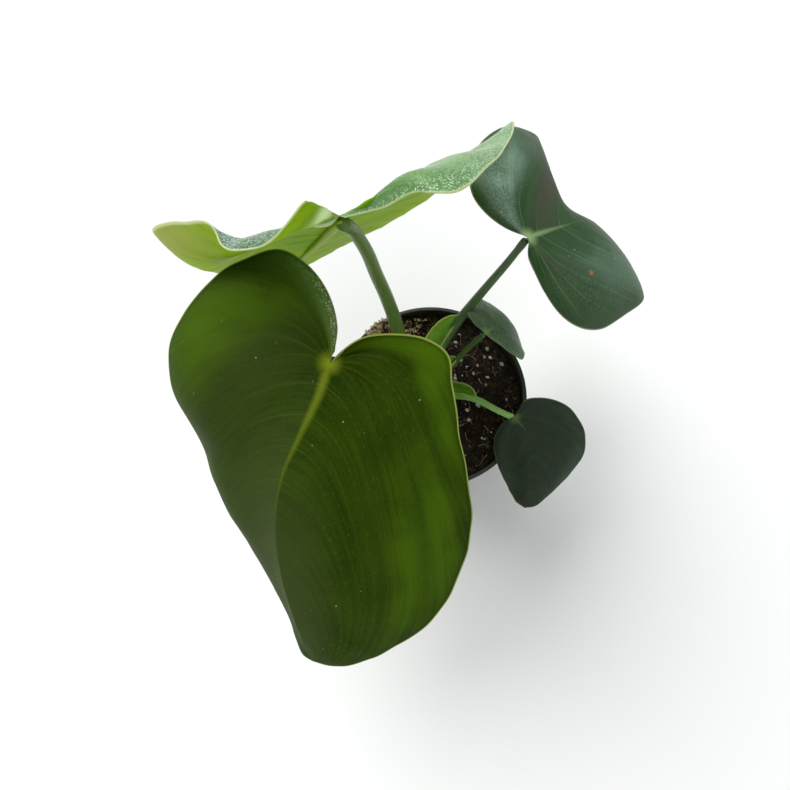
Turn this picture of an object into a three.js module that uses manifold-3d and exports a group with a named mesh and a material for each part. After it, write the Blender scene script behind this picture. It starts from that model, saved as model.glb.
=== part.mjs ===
// A potted philodendron rugosum: five heart-shaped leaves on long stalks from one short stem,
// in a plain black nursery pot. Millimetres, +Z up. The origin is the middle of the pot's base.
import * as THREE from "three";
import { mergeVertices } from "three/addons/utils/BufferGeometryUtils.js";
import Module from "manifold-3d";

const wasm = await Module();
wasm.setup();

// Driving dimensions
const RIM_RADIUS = 60;
const POT_HEIGHT = 105;
const BASE_RADIUS = 43;
const POT_WALL = 1.6;
const RIM_BAND = 16;
const FLOOR_THICKNESS = 2.4;
const DRAIN_HOLES = 8;
const DRAIN_RADIUS = 4.5;
const DRAIN_CIRCLE = 33;
const SOIL_LEVEL = 95;
const SOIL_SEED = 11;
const PERLITE_GRAINS = 18;
const STEM_RADIUS = 6.5;
const STEM_TOP = 113;
const STEM_ROOT = 62;
const STEM_PLACE = [-3, 4];
const BLADE_THICKNESS = 0.9;
const SHEATH_THICKNESS = 1.2;
const VEIN_RELIEF = 0.35;
const CLEARANCE = 0.35;

// The share of a blade's margin, from the sinus on, whose veins fan out from the stalk's end.
const FAN_SHARE = 0.34;
const VEIN_SWEEP = 1.15;

// A leaf's own frame: x along the midrib from the stalk's end, y to the left, z out of the upper face.
// turn is [heading, pitch down, roll] in degrees. Rib rows are [x, y, z]. Margin rows run from the sinus
// to the tip as [x, y, z, rise]: rise arches the blade up between rib and margin, nearer the margin where
// swell is higher. Stalk rows are [x, y, z] of the whole part, from the stem up towards the blade, with the
// radius at both ends. A sheath runs along its share of the stalk and stands aside from it.
const LEAVES = {
  leaf_front: {
    at: [-50, -28, 229],
    turn: [-95, 28, 0],
    rows: 26,
    columns: 5,
    swell: { left: 1, right: 2.5 },
    rib: [
      [0, 0, 0], [13, -3, 5], [29, -9, 8], [46, -15, 9], [65, -17, 8], [88, -15, 5], [114, -9, 0],
      [141, -2, -10],
    ],
    left: [
      [-2.5, 3, -1, 0], [-7, 6.5, 2, -1], [-12, 14, 5, -3], [-14, 25, 6, -3], [-13, 37, 4, 0],
      [-7.5, 46, 0, 3], [5, 50, -3, 4], [24, 54, -5, 5], [45, 60, -7, 6], [62, 64, -9, 7],
      [83, 64, -11, 7], [110, 54.5, -11, 6], [128, 38, -10, 4], [138, 21, -9, 2], [142, 8, -9, 1],
      [141, -2, -10, 0],
    ],
    right: [
      [-4.5, 1, -4, 3], [-15, 1, -7, 5], [-28, -4, -9, 6], [-38, -13, -10, 6], [-43, -24, -9, 6],
      [-37, -40, -9, 6], [-22, -58, -9, 6], [-1, -69, -10, 7], [22, -69, -15, 7], [41, -61.5, -22, 7],
      [69, -53, -28, 8], [96, -35.5, -29, 6], [118, -19.5, -25, 5], [132, -12, -17, 2], [139, -7, -12, 1],
      [141, -2, -10, 0],
    ],
    stalk: [[-7, 1, 108], [-20, -5, 130], [-34, -12, 165], [-44, -19, 200]],
    radius: [4.4, 2.8],
    sheath: { share: 0.26, halfWidth: 6, depth: 5, aside: -3 },
  },
  leaf_back: {
    at: [-45, 22, 255],
    turn: [106, 60, 0],
    rows: 32,
    columns: 6,
    swell: { left: 3, right: 3 },
    rib: [[0, 0, 0], [38, 9, -3], [75, 19, -6.5], [105, 24, -10], [128, 22, -10]],
    left: [
      [-3, 2, -1.5, 0], [-9, 5.5, -3.5, 4], [-16, 11, -3, 4], [-21.5, 11, -0.5, 2], [-24, 11, 4, 0],
      [-34, 20, -3, -1], [-40, 28, -8, 1], [-38, 36, -7.5, 2], [-30, 41, -3.5, 0], [-18, 45, 5, -7],
      [0, 58, 11, -12], [22, 73, 14, -14], [45, 75, 12, -13], [75, 68, 2, -7], [105, 55, -12, -3],
      [128, 22, -10, 0],
    ],
    right: [
      [-4, -1.5, -1.5, 0], [-14, -11, -2.5, 2], [-20, -15, -3, 3], [-32, -23, -2, 3], [-38, -29, -4.5, 7],
      [-37, -35, -5.5, 9], [-28, -46, -2, 7.5], [-14, -58, 4.5, 6], [5, -73, 13, 1], [24, -83, 23, -2],
      [50, -80, 21, -4], [80, -61, 12, -4], [98, -40, 5.5, -3], [115, -10, -1.5, -1], [128, 22, -10, 0],
    ],
    stalk: [
      [-6, 8, 107], [-14, 20, 112], [-20, 27, 120], [-22, 29, 134], [-25, 29, 156], [-29, 29, 180],
      [-33, 28, 202], [-36.5, 27.5, 222], [-41, 25.5, 240],
    ],
    radius: [4.7, 2.6],
    sheath: { share: 0.16, halfWidth: 7, depth: 5, aside: -3 },
  },
  leaf_right: {
    at: [44, 55, 192],
    turn: [28, 18, 13],
    rows: 26,
    columns: 5,
    swell: { left: 2, right: 1 },
    rib: [[0, 0, 0], [20, 0, 2], [42, 0, 1], [72, 0, -18], [99, 0, -48], [117, 0, -76]],
    left: [
      [0, 1, -0.5, 0], [-8, 9, -3, 2], [-14, 20, -5, 3], [-16, 32, -6, 4], [-8, 48, -7, 5],
      [6, 60, -7, 6], [23, 66, -7, 6], [39, 64, -8, 4], [49, 58, -10, 0], [48, 51, -14, -6],
      [44, 46, -18, -9], [52, 40, -30, -11], [70, 33, -48, -12], [97, 17, -65, -4], [117, 0, -76, 0],
    ],
    right: [
      [-0.5, -3, -0.5, 0], [-3, -9, -2, 2], [-0.5, -18, -5, 3], [2, -29, -7, 4], [8, -43, -9, 5],
      [18, -53, -10, 6], [33, -57, -11, 6], [55, -55, -12, 6], [77, -50, -14, 5], [91, -36, -27, 3],
      [104, -20, -49, 2], [115, -8, -67, 1], [117, 0, -76, 0],
    ],
    stalk: [
      [-1, 9, 104], [2.5, 20.5, 110], [7, 29, 117], [15, 37.5, 131], [27, 46.5, 151], [37, 52, 172],
    ],
    radius: [3.5, 1.9],
    sheath: { share: 0.42, halfWidth: 6, depth: 3, aside: -6 },
  },
  leaf_small_front: {
    at: [44, -25, 135],
    turn: [-80, 26, 0],
    rows: 14,
    columns: 4,
    swell: { left: 1, right: 1 },
    rib: [[0, 0, 0], [9, 5.5, 1], [20, 7.5, 1], [35, 6, 0], [56, 0.5, -4]],
    left: [
      [-3.5, 2.5, 0, 0], [-9, 7.5, 1, 0], [-9, 15, 1, 1], [-6.5, 23, 0, 1], [-1.5, 31, -1, 1],
      [6, 37, -2, 1], [18, 41, -3, 1], [30, 39, -4, 2], [41, 30, -5, 2], [51, 17, -5, 1],
      [56, 7.5, -4, 0], [56, 0.5, -4, 0],
    ],
    right: [
      [0, -1.5, -0.5, 0], [3.5, -6, -4, 1], [11, -10, -9, 3], [20, -11, -12, 4], [30, -10, -13, 4],
      [43, -6.5, -11, 3], [52, -3.5, -5, 1], [56, 0.5, -4, 0],
    ],
    stalk: [[2, 2, 102], [14, -4, 110], [20, -7, 117], [27, -12, 124], [35, -19, 130]],
    radius: [2.5, 1.6],
    sheath: { share: 0.55, halfWidth: 4.2, depth: 3.5, aside: -3.5 },
  },
  leaf_small_back: {
    at: [28, 23, 145],
    turn: [40, 32, 0],
    rows: 14,
    columns: 3,
    swell: { left: 1, right: 1 },
    rib: [[0, 0, 0], [12, 0, 1], [26, 0, 0], [40, 0, -9], [51, 0, -22]],
    left: [
      [0, 0.5, 0, 0], [0.5, 9, -1, 1], [5.5, 17, -2, 1], [14, 22, -2, 2], [25, 22, -2, 2],
      [36, 16, -8, 2], [45, 7, -17, 1], [51, 0, -22, 0],
    ],
    right: [
      [0, -2.5, 0, 0], [6, -11, -2, 1], [11, -18, -4, 1], [16, -23, -6, 1], [24, -22, -7, 2],
      [34, -16, -12, 2], [44, -8, -18, 1], [51, 0, -22, 0],
    ],
    stalk: [[2, 8, 101], [11, 15, 108], [17, 20, 116], [23, 23, 128]],
    radius: [2.3, 1.4],
    sheath: { share: 0.42, halfWidth: 4, depth: 2.5, aside: -3 },
  },
};

const vector = (row) => new THREE.Vector3(row[0], row[1], row[2]);
const curveThrough = (rows) => new THREE.CatmullRomCurve3(rows.map(vector), false, "centripetal");

// A closed geometry as a solid, and back.
function solid(geometry) {
  geometry.deleteAttribute("normal");
  geometry.deleteAttribute("uv");
  const merged = mergeVertices(geometry, 1e-4);
  return new wasm.Manifold(
    new wasm.Mesh({
      numProp: 3,
      vertProperties: merged.attributes.position.array,
      triVerts: new Uint32Array(merged.index.array),
    }),
  );
}

function geometryOf(made) {
  const mesh = made.getMesh();
  const geometry = new THREE.BufferGeometry();
  geometry.setAttribute("position", new THREE.BufferAttribute(new Float32Array(mesh.vertProperties), 3));
  geometry.setIndex(new THREE.BufferAttribute(new Uint32Array(mesh.triVerts), 1));
  geometry.computeVertexNormals();
  return geometry;
}

const largest = (made) => made.decompose().sort((a, b) => b.volume() - a.volume())[0];

// An open sheet of triangles, made solid by moving each point both ways along its normal.
function thickened(points, triangles, thickness) {
  const seen = new Map();
  const merged = [];
  const ids = points.map((point) => {
    const key = point.toArray().map((value) => value.toFixed(3)).join();
    if (!seen.has(key)) {
      seen.set(key, merged.length);
      merged.push(point);
    }
    return seen.get(key);
  });
  const faces = triangles
    .map((face) => face.map((id) => ids[id]))
    .filter(([a, b, c]) => a !== b && b !== c && c !== a);
  const normals = merged.map(() => new THREE.Vector3());
  const edges = new Map();
  for (const face of faces) {
    const [a, b, c] = face.map((id) => merged[id]);
    const normal = b.clone().sub(a).cross(c.clone().sub(a));
    face.forEach((id, k) => {
      normals[id].add(normal);
      const next = face[(k + 1) % 3];
      const twin = next + "," + id;
      if (edges.has(twin)) edges.delete(twin);
      else edges.set(id + "," + next, [id, next]);
    });
  }
  const count = merged.length;
  const positions = [];
  for (const side of [0.5, -0.5]) {
    merged.forEach((point, id) => {
      const shift = normals[id].clone().setLength(side * thickness);
      positions.push(...point.clone().add(shift).toArray());
    });
  }
  const index = [];
  for (const [a, b, c] of faces) index.push(a, b, c, a + count, c + count, b + count);
  for (const [a, b] of edges.values()) index.push(b, a, a + count, b, a + count, b + count);
  const geometry = new THREE.BufferGeometry();
  geometry.setAttribute("position", new THREE.Float32BufferAttribute(positions, 3));
  geometry.setIndex(index);
  return geometry;
}

// A closed round tube along a curve, its radius given as a function of the share of the way.
function taperedTube(curve, radiusAt, steps, sides) {
  const frames = curve.computeFrenetFrames(steps, false);
  const positions = [];
  for (let i = 0; i <= steps; i++) {
    const middle = curve.getPointAt(i / steps);
    for (let k = 0; k < sides; k++) {
      const angle = (2 * Math.PI * k) / sides;
      const out = frames.normals[i].clone().multiplyScalar(Math.cos(angle));
      out.addScaledVector(frames.binormals[i], Math.sin(angle));
      positions.push(...middle.clone().addScaledVector(out, radiusAt(i / steps)).toArray());
    }
  }
  const index = [];
  for (let i = 0; i < steps; i++) {
    for (let k = 0; k < sides; k++) {
      const a = i * sides + k;
      const b = i * sides + ((k + 1) % sides);
      index.push(a, b, a + sides, b, b + sides, a + sides);
    }
  }
  const last = steps * sides;
  for (let k = 1; k < sides - 1; k++) {
    index.push(0, k + 1, k, last, last + k, last + k + 1);
  }
  const geometry = new THREE.BufferGeometry();
  geometry.setAttribute("position", new THREE.Float32BufferAttribute(positions, 3));
  geometry.setIndex(index);
  return geometry;
}

// The leaf's own frame as a matrix: its x falls from the heading by the pitch, its y lifts by the roll.
function leafFrame(leaf) {
  const [heading, pitch, roll] = leaf.turn.map(THREE.MathUtils.degToRad);
  const frame = new THREE.Matrix4().makeRotationZ(heading);
  frame.multiply(new THREE.Matrix4().makeRotationY(pitch));
  frame.multiply(new THREE.Matrix4().makeRotationX(roll));
  return frame.setPosition(...leaf.at);
}

// A hump that is 1 at its height and 0 at both ends; a higher power moves it outwards.
const swelling = (out, power) => out ** power * (1 - out) * ((power + 1) ** (power + 1) / power ** power);

// One half of the blade as a grid of points, from the midrib out to the margin.
function halfBlade(leaf, side) {
  const rib = curveThrough(leaf.rib);
  const margin = curveThrough(leaf[side]);
  const rises = new THREE.CatmullRomCurve3(
    leaf[side].map((row) => new THREE.Vector3(row[3], 0, 0)),
    false,
    "catmullrom",
    0.5,
  );
  const grid = [];
  for (let i = 0; i <= leaf.rows; i++) {
    const along = i / leaf.rows;
    const edge = margin.getPointAt(along);
    const rise = rises.getPoint(margin.getUtoTmapping(along)).x;
    const down = Math.max(0, (along - FAN_SHARE) / (1 - FAN_SHARE)) ** VEIN_SWEEP;
    const root = rib.getPointAt(down);
    const ridge = (i % 2 ? VEIN_RELIEF : -VEIN_RELIEF) * Math.min(1, 6 * (1 - along));
    for (let j = 0; j <= leaf.columns; j++) {
      const out = j / leaf.columns;
      const point = root.clone().lerp(edge, out);
      point.z += rise * swelling(out, leaf.swell[side]) + ridge * swelling(out, 1);
      grid.push(point);
    }
  }
  return grid;
}

function bladeGeometry(leaf) {
  const points = [];
  const triangles = [];
  const width = leaf.columns + 1;
  for (const side of ["left", "right"]) {
    const first = points.length;
    points.push(...halfBlade(leaf, side));
    for (let i = 0; i < leaf.rows; i++) {
      for (let j = 0; j < leaf.columns; j++) {
        const a = first + i * width + j;
        const quad = [
          [a, a + width, a + 1],
          [a + 1, a + width, a + width + 1],
        ];
        for (const face of quad) triangles.push(side === "left" ? face : face.toReversed());
      }
    }
  }
  return thickened(points, triangles, BLADE_THICKNESS);
}

// The stalk ends in a knee just under the blade.
const kneeOf = (leaf) => new THREE.Vector3(0.5, 0, -leaf.radius[1]).applyMatrix4(leafFrame(leaf));
const stalkCurve = (leaf) => curveThrough([...leaf.stalk, kneeOf(leaf).toArray()]);

// The trough at a stalk's foot: it clasps the stem, runs up the stalk's upper side and ends in a free tip.
function sheathGeometry(leaf, grow) {
  const { share, halfWidth, depth, aside } = leaf.sheath;
  const stalk = stalkCurve(leaf);
  const steps = 9;
  const across = 4;
  const axis = new THREE.Vector3(...STEM_PLACE, 0);
  const points = [];
  for (let i = 0; i <= steps; i++) {
    const along = (share * i) / steps;
    const middle = stalk.getPointAt(along);
    const way = stalk.getTangentAt(along);
    const inward = new THREE.Vector3(0, 0, 1).addScaledVector(axis.clone().sub(middle).setZ(0), 0.03);
    inward.addScaledVector(way, -inward.dot(way)).normalize();
    const sideways = new THREE.Vector3().crossVectors(way, inward);
    const round = Math.sqrt(Math.max(0.03, 1 - (i / steps) ** 4));
    for (let k = 0; k <= across; k++) {
      const t = (2 * k) / across - 1;
      const point = middle.clone().addScaledVector(sideways, (t * halfWidth + aside) * round);
      point.addScaledVector(inward, depth * t * t * round + 0.8);
      points.push(point);
    }
  }
  const triangles = [];
  for (let i = 0; i < steps; i++) {
    for (let k = 0; k < across; k++) {
      const a = i * (across + 1) + k;
      const b = a + across + 1;
      triangles.push([a, b, a + 1], [a + 1, b, b + 1]);
    }
  }
  return thickened(points, triangles, SHEATH_THICKNESS + 2 * grow);
}

// Stalk, sheath and the knee under the blade, grown outwards by a clearance where asked.
function stalkSolid(leaf, grow) {
  const stalk = stalkCurve(leaf);
  const [foot, top] = leaf.radius;
  const radiusAt = (t) => THREE.MathUtils.lerp(foot, top, t) + grow;
  const tube = solid(taperedTube(stalk, radiusAt, 4 * leaf.stalk.length, 8));
  const knee = new THREE.IcosahedronGeometry(top * 1.1 + grow, 1).translate(...kneeOf(leaf));
  return tube.add(solid(knee)).add(solid(sheathGeometry(leaf, grow)));
}

// The raised midrib under the blade.
function keelGeometry(leaf) {
  const thick = leaf.radius[1] * 0.8;
  const last = leaf.rib.length - 1;
  const sunk = leaf.rib.map(([x, y, z], k) => [x, y, z - 0.2 - (thick * (last - k)) / last]);
  return taperedTube(curveThrough(sunk), (t) => THREE.MathUtils.lerp(thick, 0.6, t ** 0.7), 10, 5);
}

function lathe(profile, segments) {
  const points = profile.map(([radius, height]) => new THREE.Vector2(radius, height));
  return new THREE.LatheGeometry(points, segments).rotateX(Math.PI / 2);
}

// A thin-walled pot with a stepped band below its rim, a raised ring in its floor and drain holes in it.
function potSolid() {
  const top = POT_HEIGHT;
  const step = top - RIM_BAND;
  const bandRadius = RIM_RADIUS - 1;
  const shoulder = RIM_RADIUS - 3.4;
  const inner = shoulder - POT_WALL;
  const profile = [
    [0, 0], [DRAIN_CIRCLE - 7, 0], [DRAIN_CIRCLE - 6, 1.6], [DRAIN_CIRCLE + 6, 1.6], [DRAIN_CIRCLE + 7, 0],
    [BASE_RADIUS - 1, 0], [BASE_RADIUS, 1.2], [shoulder, step - 1], [bandRadius, step],
    [bandRadius, top - 1.6], [RIM_RADIUS, top - 1.2], [RIM_RADIUS, top - 0.3], [RIM_RADIUS - 0.4, top],
    [RIM_RADIUS - 2.2, top], [RIM_RADIUS - 2.6, top - 0.5], [bandRadius - POT_WALL, step + 1.5],
    [inner, step - 0.5], [BASE_RADIUS - POT_WALL, FLOOR_THICKNESS + 1.6], [0, FLOOR_THICKNESS + 1.6],
  ];
  let pot = solid(lathe(profile, 60));
  for (let k = 0; k < DRAIN_HOLES; k++) {
    const angle = (2 * Math.PI * (k + 0.5)) / DRAIN_HOLES;
    const drill = new THREE.CylinderGeometry(DRAIN_RADIUS, DRAIN_RADIUS, 20, 12).rotateX(Math.PI / 2);
    drill.translate(DRAIN_CIRCLE * Math.cos(angle), DRAIN_CIRCLE * Math.sin(angle), 0);
    pot = pot.subtract(solid(drill));
  }
  return pot;
}

// Crumbled potting mix: its top rolls gently, is pitted all over and is heaped to the rim behind the plant.
function soilHeight(x, y) {
  const roll = 1.1 * Math.sin(x / 9 + 1.3) * Math.cos(y / 11) + 0.7 * Math.sin(x / 4.1 - y / 5.3);
  const crumb = 0.6 * Math.sin(x * 1.7 + 2.1 * Math.sin(y / 3)) * Math.sin(y * 1.5 + x / 4);
  const heap = 8.5 * Math.exp(-((x + 27) ** 2 + (y - 46) ** 2) / 110);
  return SOIL_LEVEL + roll + crumb + heap;
}

function randomFrom(seed) {
  let state = seed;
  return () => {
    state = (state * 1103515245 + 12345) % 2147483648;
    return state / 2147483648;
  };
}

function soilSolid() {
  const rings = 12;
  const segments = 42;
  const step = POT_HEIGHT - RIM_BAND;
  const bandInside = RIM_RADIUS - 1 - POT_WALL - 0.5;
  const shoulderInside = RIM_RADIUS - 3.4 - POT_WALL - 0.5;
  const bottom = FLOOR_THICKNESS + 2.2;
  const positions = [0, 0, soilHeight(0, 0)];
  const ring = (radius, heightAt) => {
    for (let k = 0; k < segments; k++) {
      const angle = (2 * Math.PI * k) / segments;
      const x = radius * Math.cos(angle);
      const y = radius * Math.sin(angle);
      positions.push(x, y, heightAt(x, y));
    }
  };
  for (let i = 1; i <= rings; i++) ring((bandInside * i) / rings, soilHeight);
  ring(shoulderInside, () => step - 0.8);
  ring(BASE_RADIUS - POT_WALL - 0.6, () => bottom);
  positions.push(0, 0, bottom);
  const index = [];
  const loops = rings + 2;
  for (let k = 0; k < segments; k++) {
    const next = (k + 1) % segments;
    index.push(0, 1 + k, 1 + next);
    for (let i = 0; i < loops - 1; i++) {
      const a = 1 + i * segments;
      const b = a + segments;
      index.push(a + k, b + k, a + next, a + next, b + k, b + next);
    }
    const last = 1 + (loops - 1) * segments;
    index.push(last + k, last + segments, last + next);
  }
  const geometry = new THREE.BufferGeometry();
  geometry.setAttribute("position", new THREE.Float32BufferAttribute(positions, 3));
  geometry.setIndex(index);
  let soil = solid(geometry);
  const random = randomFrom(SOIL_SEED);
  for (let k = 0; k < PERLITE_GRAINS; k++) {
    const radius = 16 + 36 * Math.sqrt(random());
    const angle = 2 * Math.PI * random();
    const x = radius * Math.cos(angle);
    const y = radius * Math.sin(angle);
    const grain = new THREE.IcosahedronGeometry(1.2 + 0.8 * random(), 0).rotateX(random() * 3);
    soil = soil.add(solid(grain.translate(x, y, soilHeight(x, y) + 0.3)));
  }
  return soil;
}

// The short stem: ringed with the scars of old leaves above the soil, a plain peg in its hole below.
function stemProfile(grow) {
  const radius = STEM_RADIUS + grow;
  return [
    [0, STEM_ROOT - grow], [radius - 2, STEM_ROOT - grow], [radius - 1, STEM_ROOT + 2],
    [radius - 0.5, SOIL_LEVEL - 1], [radius, SOIL_LEVEL + 2], [radius - 0.5, SOIL_LEVEL + 4],
    [radius, SOIL_LEVEL + 7], [radius - 0.8, SOIL_LEVEL + 9], [radius - 0.6, SOIL_LEVEL + 13],
    [radius - 2.2, STEM_TOP - 2], [radius - 4.5, STEM_TOP + grow], [0, STEM_TOP + 0.4 + grow],
  ];
}

const stemSolid = (grow) => solid(lathe(stemProfile(grow), 24).translate(...STEM_PLACE, 0));

const FINISH = {
  pot: { color: 0x16181a, roughness: 0.45 },
  soil: { color: 0x2a1d14, roughness: 1 },
  stem: { color: 0x5c6f33, roughness: 0.7 },
  leaf_front: { color: 0x3c5f1a, roughness: 0.45 },
  leaf_back: { color: 0x6f9a45, roughness: 0.4 },
  leaf_right: { color: 0x33533a, roughness: 0.45 },
  leaf_small_front: { color: 0x2b3d33, roughness: 0.5 },
  leaf_small_back: { color: 0x35493f, roughness: 0.5 },
};

const plant = new THREE.Group();

function place(name, made) {
  const material = new THREE.MeshStandardMaterial({ ...FINISH[name], metalness: 0 });
  const mesh = new THREE.Mesh(geometryOf(made), material);
  mesh.name = name;
  plant.add(mesh);
}

place("pot", potSolid());
place("stem", stemSolid(0));

// Each leaf is one piece. It keeps clear of the stem and of the stalks and sheaths before it.
let taken = stemSolid(CLEARANCE);
for (const [name, leaf] of Object.entries(LEAVES)) {
  const frame = leafFrame(leaf);
  const blade = solid(bladeGeometry(leaf).applyMatrix4(frame));
  const keel = solid(keelGeometry(leaf).applyMatrix4(frame));
  const whole = blade.add(keel).add(stalkSolid(leaf, 0)).subtract(taken);
  place(name, largest(whole));
  taken = taken.add(stalkSolid(leaf, CLEARANCE));
}
place("soil", largest(soilSolid().subtract(taken)));

export default plant;
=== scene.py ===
import math
import random

import bmesh
import bpy
import numpy as np
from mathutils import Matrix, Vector, noise


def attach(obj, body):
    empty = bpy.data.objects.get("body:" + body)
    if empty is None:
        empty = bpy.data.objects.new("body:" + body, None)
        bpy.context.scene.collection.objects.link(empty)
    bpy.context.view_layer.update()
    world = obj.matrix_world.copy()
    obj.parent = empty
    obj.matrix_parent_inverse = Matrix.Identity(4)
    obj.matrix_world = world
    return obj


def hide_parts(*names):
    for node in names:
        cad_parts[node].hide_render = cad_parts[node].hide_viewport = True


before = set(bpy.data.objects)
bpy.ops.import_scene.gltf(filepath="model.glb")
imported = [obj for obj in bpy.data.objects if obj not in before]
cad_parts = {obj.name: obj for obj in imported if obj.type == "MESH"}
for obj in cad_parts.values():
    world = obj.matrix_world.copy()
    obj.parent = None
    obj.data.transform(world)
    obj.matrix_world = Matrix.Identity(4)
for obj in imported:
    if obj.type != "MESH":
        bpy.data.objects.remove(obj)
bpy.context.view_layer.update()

# The place: a board in matt pale paint that the pot stands on, and a phone held close above the plant.
# The light is one broad window-like source, a weak fill and dim surroundings.


def paint(code):
    """A hex colour as Blender's linear red, green, blue, alpha."""
    shares = [int(code[k : k + 2], 16) / 255 for k in (1, 3, 5)]
    return (*[s / 12.92 if s <= 0.04045 else ((s + 0.055) / 1.055) ** 2.4 for s in shares], 1.0)


def feed(node, inputs):
    """Sets a node's inputs: each is a value, or the socket that feeds it."""
    for key, value in inputs.items():
        if isinstance(value, bpy.types.NodeSocket):
            node.id_data.links.new(value, node.inputs[key])
        else:
            node.inputs[key].default_value = value


def add(tree, kind, inputs=None, gives=0, **settings):
    """Adds a shader node with its inputs and own settings, and returns one of its outputs.

    A MapRange's inputs 0 to 4 are its value, what it runs from and what it runs to. A Mix's 6 and 7 are its
    colours, and its output 2 is their blend.
    """
    node = tree.nodes.new("ShaderNode" + kind)
    for key, value in settings.items():
        setattr(node, key, value)
    feed(node, inputs or {})
    return node.outputs[gives]


def fresh_material(name, inputs):
    """A new material, its nodes, its Principled shader with these inputs set, and the place on its object."""
    material = bpy.data.materials.new(name)
    material.use_nodes = True
    shader = material.node_tree.nodes["Principled BSDF"]
    feed(shader, inputs)
    return material, material.node_tree, shader, add(material.node_tree, "TexCoord", gives="Object")


def piece(name, points, faces, *materials):
    """A smooth mesh from points in millimetres."""
    mesh = bpy.data.meshes.new(name)
    mesh.from_pydata((np.asarray(points, float) / 1000).tolist(), [], faces)
    mesh.shade_smooth()
    for material in materials:
        mesh.materials.append(material)
    made = bpy.data.objects.new(name, mesh)
    bpy.context.scene.collection.objects.link(made)
    return made


# Matt wall paint on board: a faint roller texture and hardly any gloss.
board_paint, tree, shader, place = fresh_material("matt_board_paint", {"Roughness": 0.85})
roller = add(tree, "TexNoise", {"Vector": place, "Scale": 600.0, "Detail": 3.0})
tone = add(tree, "Mix", {0: roller, 6: paint("#f4f4f2"), 7: paint("#f8f8f7")}, data_type="RGBA", gives=2)
bump = add(tree, "Bump", {"Height": roller, "Strength": 0.2, "Distance": 0.0002})
feed(shader, {"Base Color": tone, "Normal": bump})
half = 2500
board = piece(
    "floor",
    [(-half, -half, -0.2), (half, -half, -0.2), (half, half, -0.2), (-half, half, -0.2)],
    [(0, 1, 2, 3)],
    board_paint,
)

camera = bpy.data.objects.new("camera", bpy.data.cameras.new("camera"))
camera.location = (-0.024, -0.103, 0.425)
camera.rotation_euler = (math.radians(17.5), 0, 0)
camera.data.lens = 24
camera.data.sensor_width = 36
camera.data.clip_start = 0.01
bpy.context.scene.collection.objects.link(camera)
bpy.context.scene.camera = camera

LIGHTS = {
    "window": {"from": (-0.55, 0.6, 0.85), "strength": 2.7, "spread": 50},
    "fill": {"from": (0.5, -0.9, 0.9), "strength": 0.8, "spread": 80},
}
for name, light in LIGHTS.items():
    lamp = bpy.data.lights.new(name, "SUN")
    lamp.energy = light["strength"]
    lamp.angle = math.radians(light["spread"])
    held = bpy.data.objects.new(name, lamp)
    held.rotation_euler = Vector(light["from"]).to_track_quat("Z", "Y").to_euler()
    bpy.context.scene.collection.objects.link(held)
world = bpy.data.worlds.new("room")
world.use_nodes = True
world.node_tree.nodes["Background"].inputs["Color"].default_value = paint("#eef2f5")
world.node_tree.nodes["Background"].inputs["Strength"].default_value = 0.42
bpy.context.scene.world = world
bpy.context.scene.view_settings.view_transform = "Standard"

# The pot: a thin nursery pot of black polypropylene, injection moulded in one piece with a stepped band,
# a rolled lip and eight drain holes in its floor. It stands on the board by its base.

RIM_RADIUS, POT_HEIGHT, BASE_RADIUS, WALL = 60, 105, 43, 1.6
BAND_STEP, BAND_RADIUS, SHOULDER = 89, 59, 56.6
DRAIN_CIRCLE, DRAIN_RADIUS, DRAIN_HOLES = 33, 4.5, 8


def around(radius, angle):
    """The x and y at this radius and angle about the pot's axis."""
    return radius * math.cos(angle), radius * math.sin(angle)


def spun(profile, segments):
    """The points and faces of a profile of (radius, height) turned about the upright axis."""
    points, faces, rings = [], [], []
    for radius, height in profile:
        count = segments if radius > 0 else 1
        rings.append(list(range(len(points), len(points) + count)))
        for k in range(count):
            points.append((*around(radius, 2 * math.pi * k / segments), height))
    for low, high in zip(rings, rings[1:]):
        for k in range(segments):
            a, b = low[k % len(low)], low[(k + 1) % len(low)]
            c, d = high[(k + 1) % len(high)], high[k % len(high)]
            faces.append(tuple(dict.fromkeys((a, b, c, d))))
    return points, faces


def applied(made):
    """Replaces an object's mesh by what its modifiers make of it."""
    graph = bpy.context.evaluated_depsgraph_get()
    made.data = bpy.data.meshes.new_from_object(made.evaluated_get(graph))
    made.modifiers.clear()
    return made


# Black polypropylene: satin from the mould, grey where it is scuffed, with dust in patches.
black_pp, tree, shader, place = fresh_material("black_polypropylene", {"IOR": 1.49})
scuffs = add(tree, "TexNoise", {"Vector": place, "Scale": 90.0, "Detail": 6.0, "Roughness": 0.7})
dusty = add(tree, "MapRange", {0: scuffs, 1: 0.5, 2: 0.78})
tone = add(tree, "Mix", {0: dusty, 6: paint("#15191a"), 7: paint("#343a38")}, data_type="RGBA", gives=2)
# Above the mix its inner wall is smeared with peat, and the lip is painted a lighter grey: a painted
# highlight along it. The smear goes by the distance from the axis, so the outside below the band, which is
# narrower, takes it too.
sides = add(tree, "VectorMath", {0: place, 1: (1, 1, 0)}, operation="MULTIPLY")
reach = add(tree, "VectorMath", {0: sides}, operation="LENGTH", gives="Value")
height = add(tree, "SeparateXYZ", {0: place}, gives="Z")
inner = add(tree, "MapRange", {0: reach, 1: 0.0583, 2: 0.0581})
smeared = add(tree, "MapRange", {0: height, 1: 0.105, 2: 0.1, 3: 0.45, 4: 0.95})
smeared = add(tree, "Math", {0: inner, 1: smeared}, operation="MULTIPLY")
tone = add(tree, "Mix", {0: smeared, 6: tone, 7: paint("#2b241a")}, data_type="RGBA", gives=2)
# Painted highlight: above this height the lip is mixed towards a lighter grey.
lip_highlight = add(tree, "MapRange", {0: height, 1: 0.1044, 2: 0.1049, 4: 0.3})
tone = add(tree, "Mix", {0: lip_highlight, 6: tone, 7: paint("#4c524c")}, data_type="RGBA", gives=2)
dull = add(tree, "MapRange", {0: scuffs, 1: 0.3, 2: 0.7, 3: 0.32, 4: 0.55})
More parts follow.
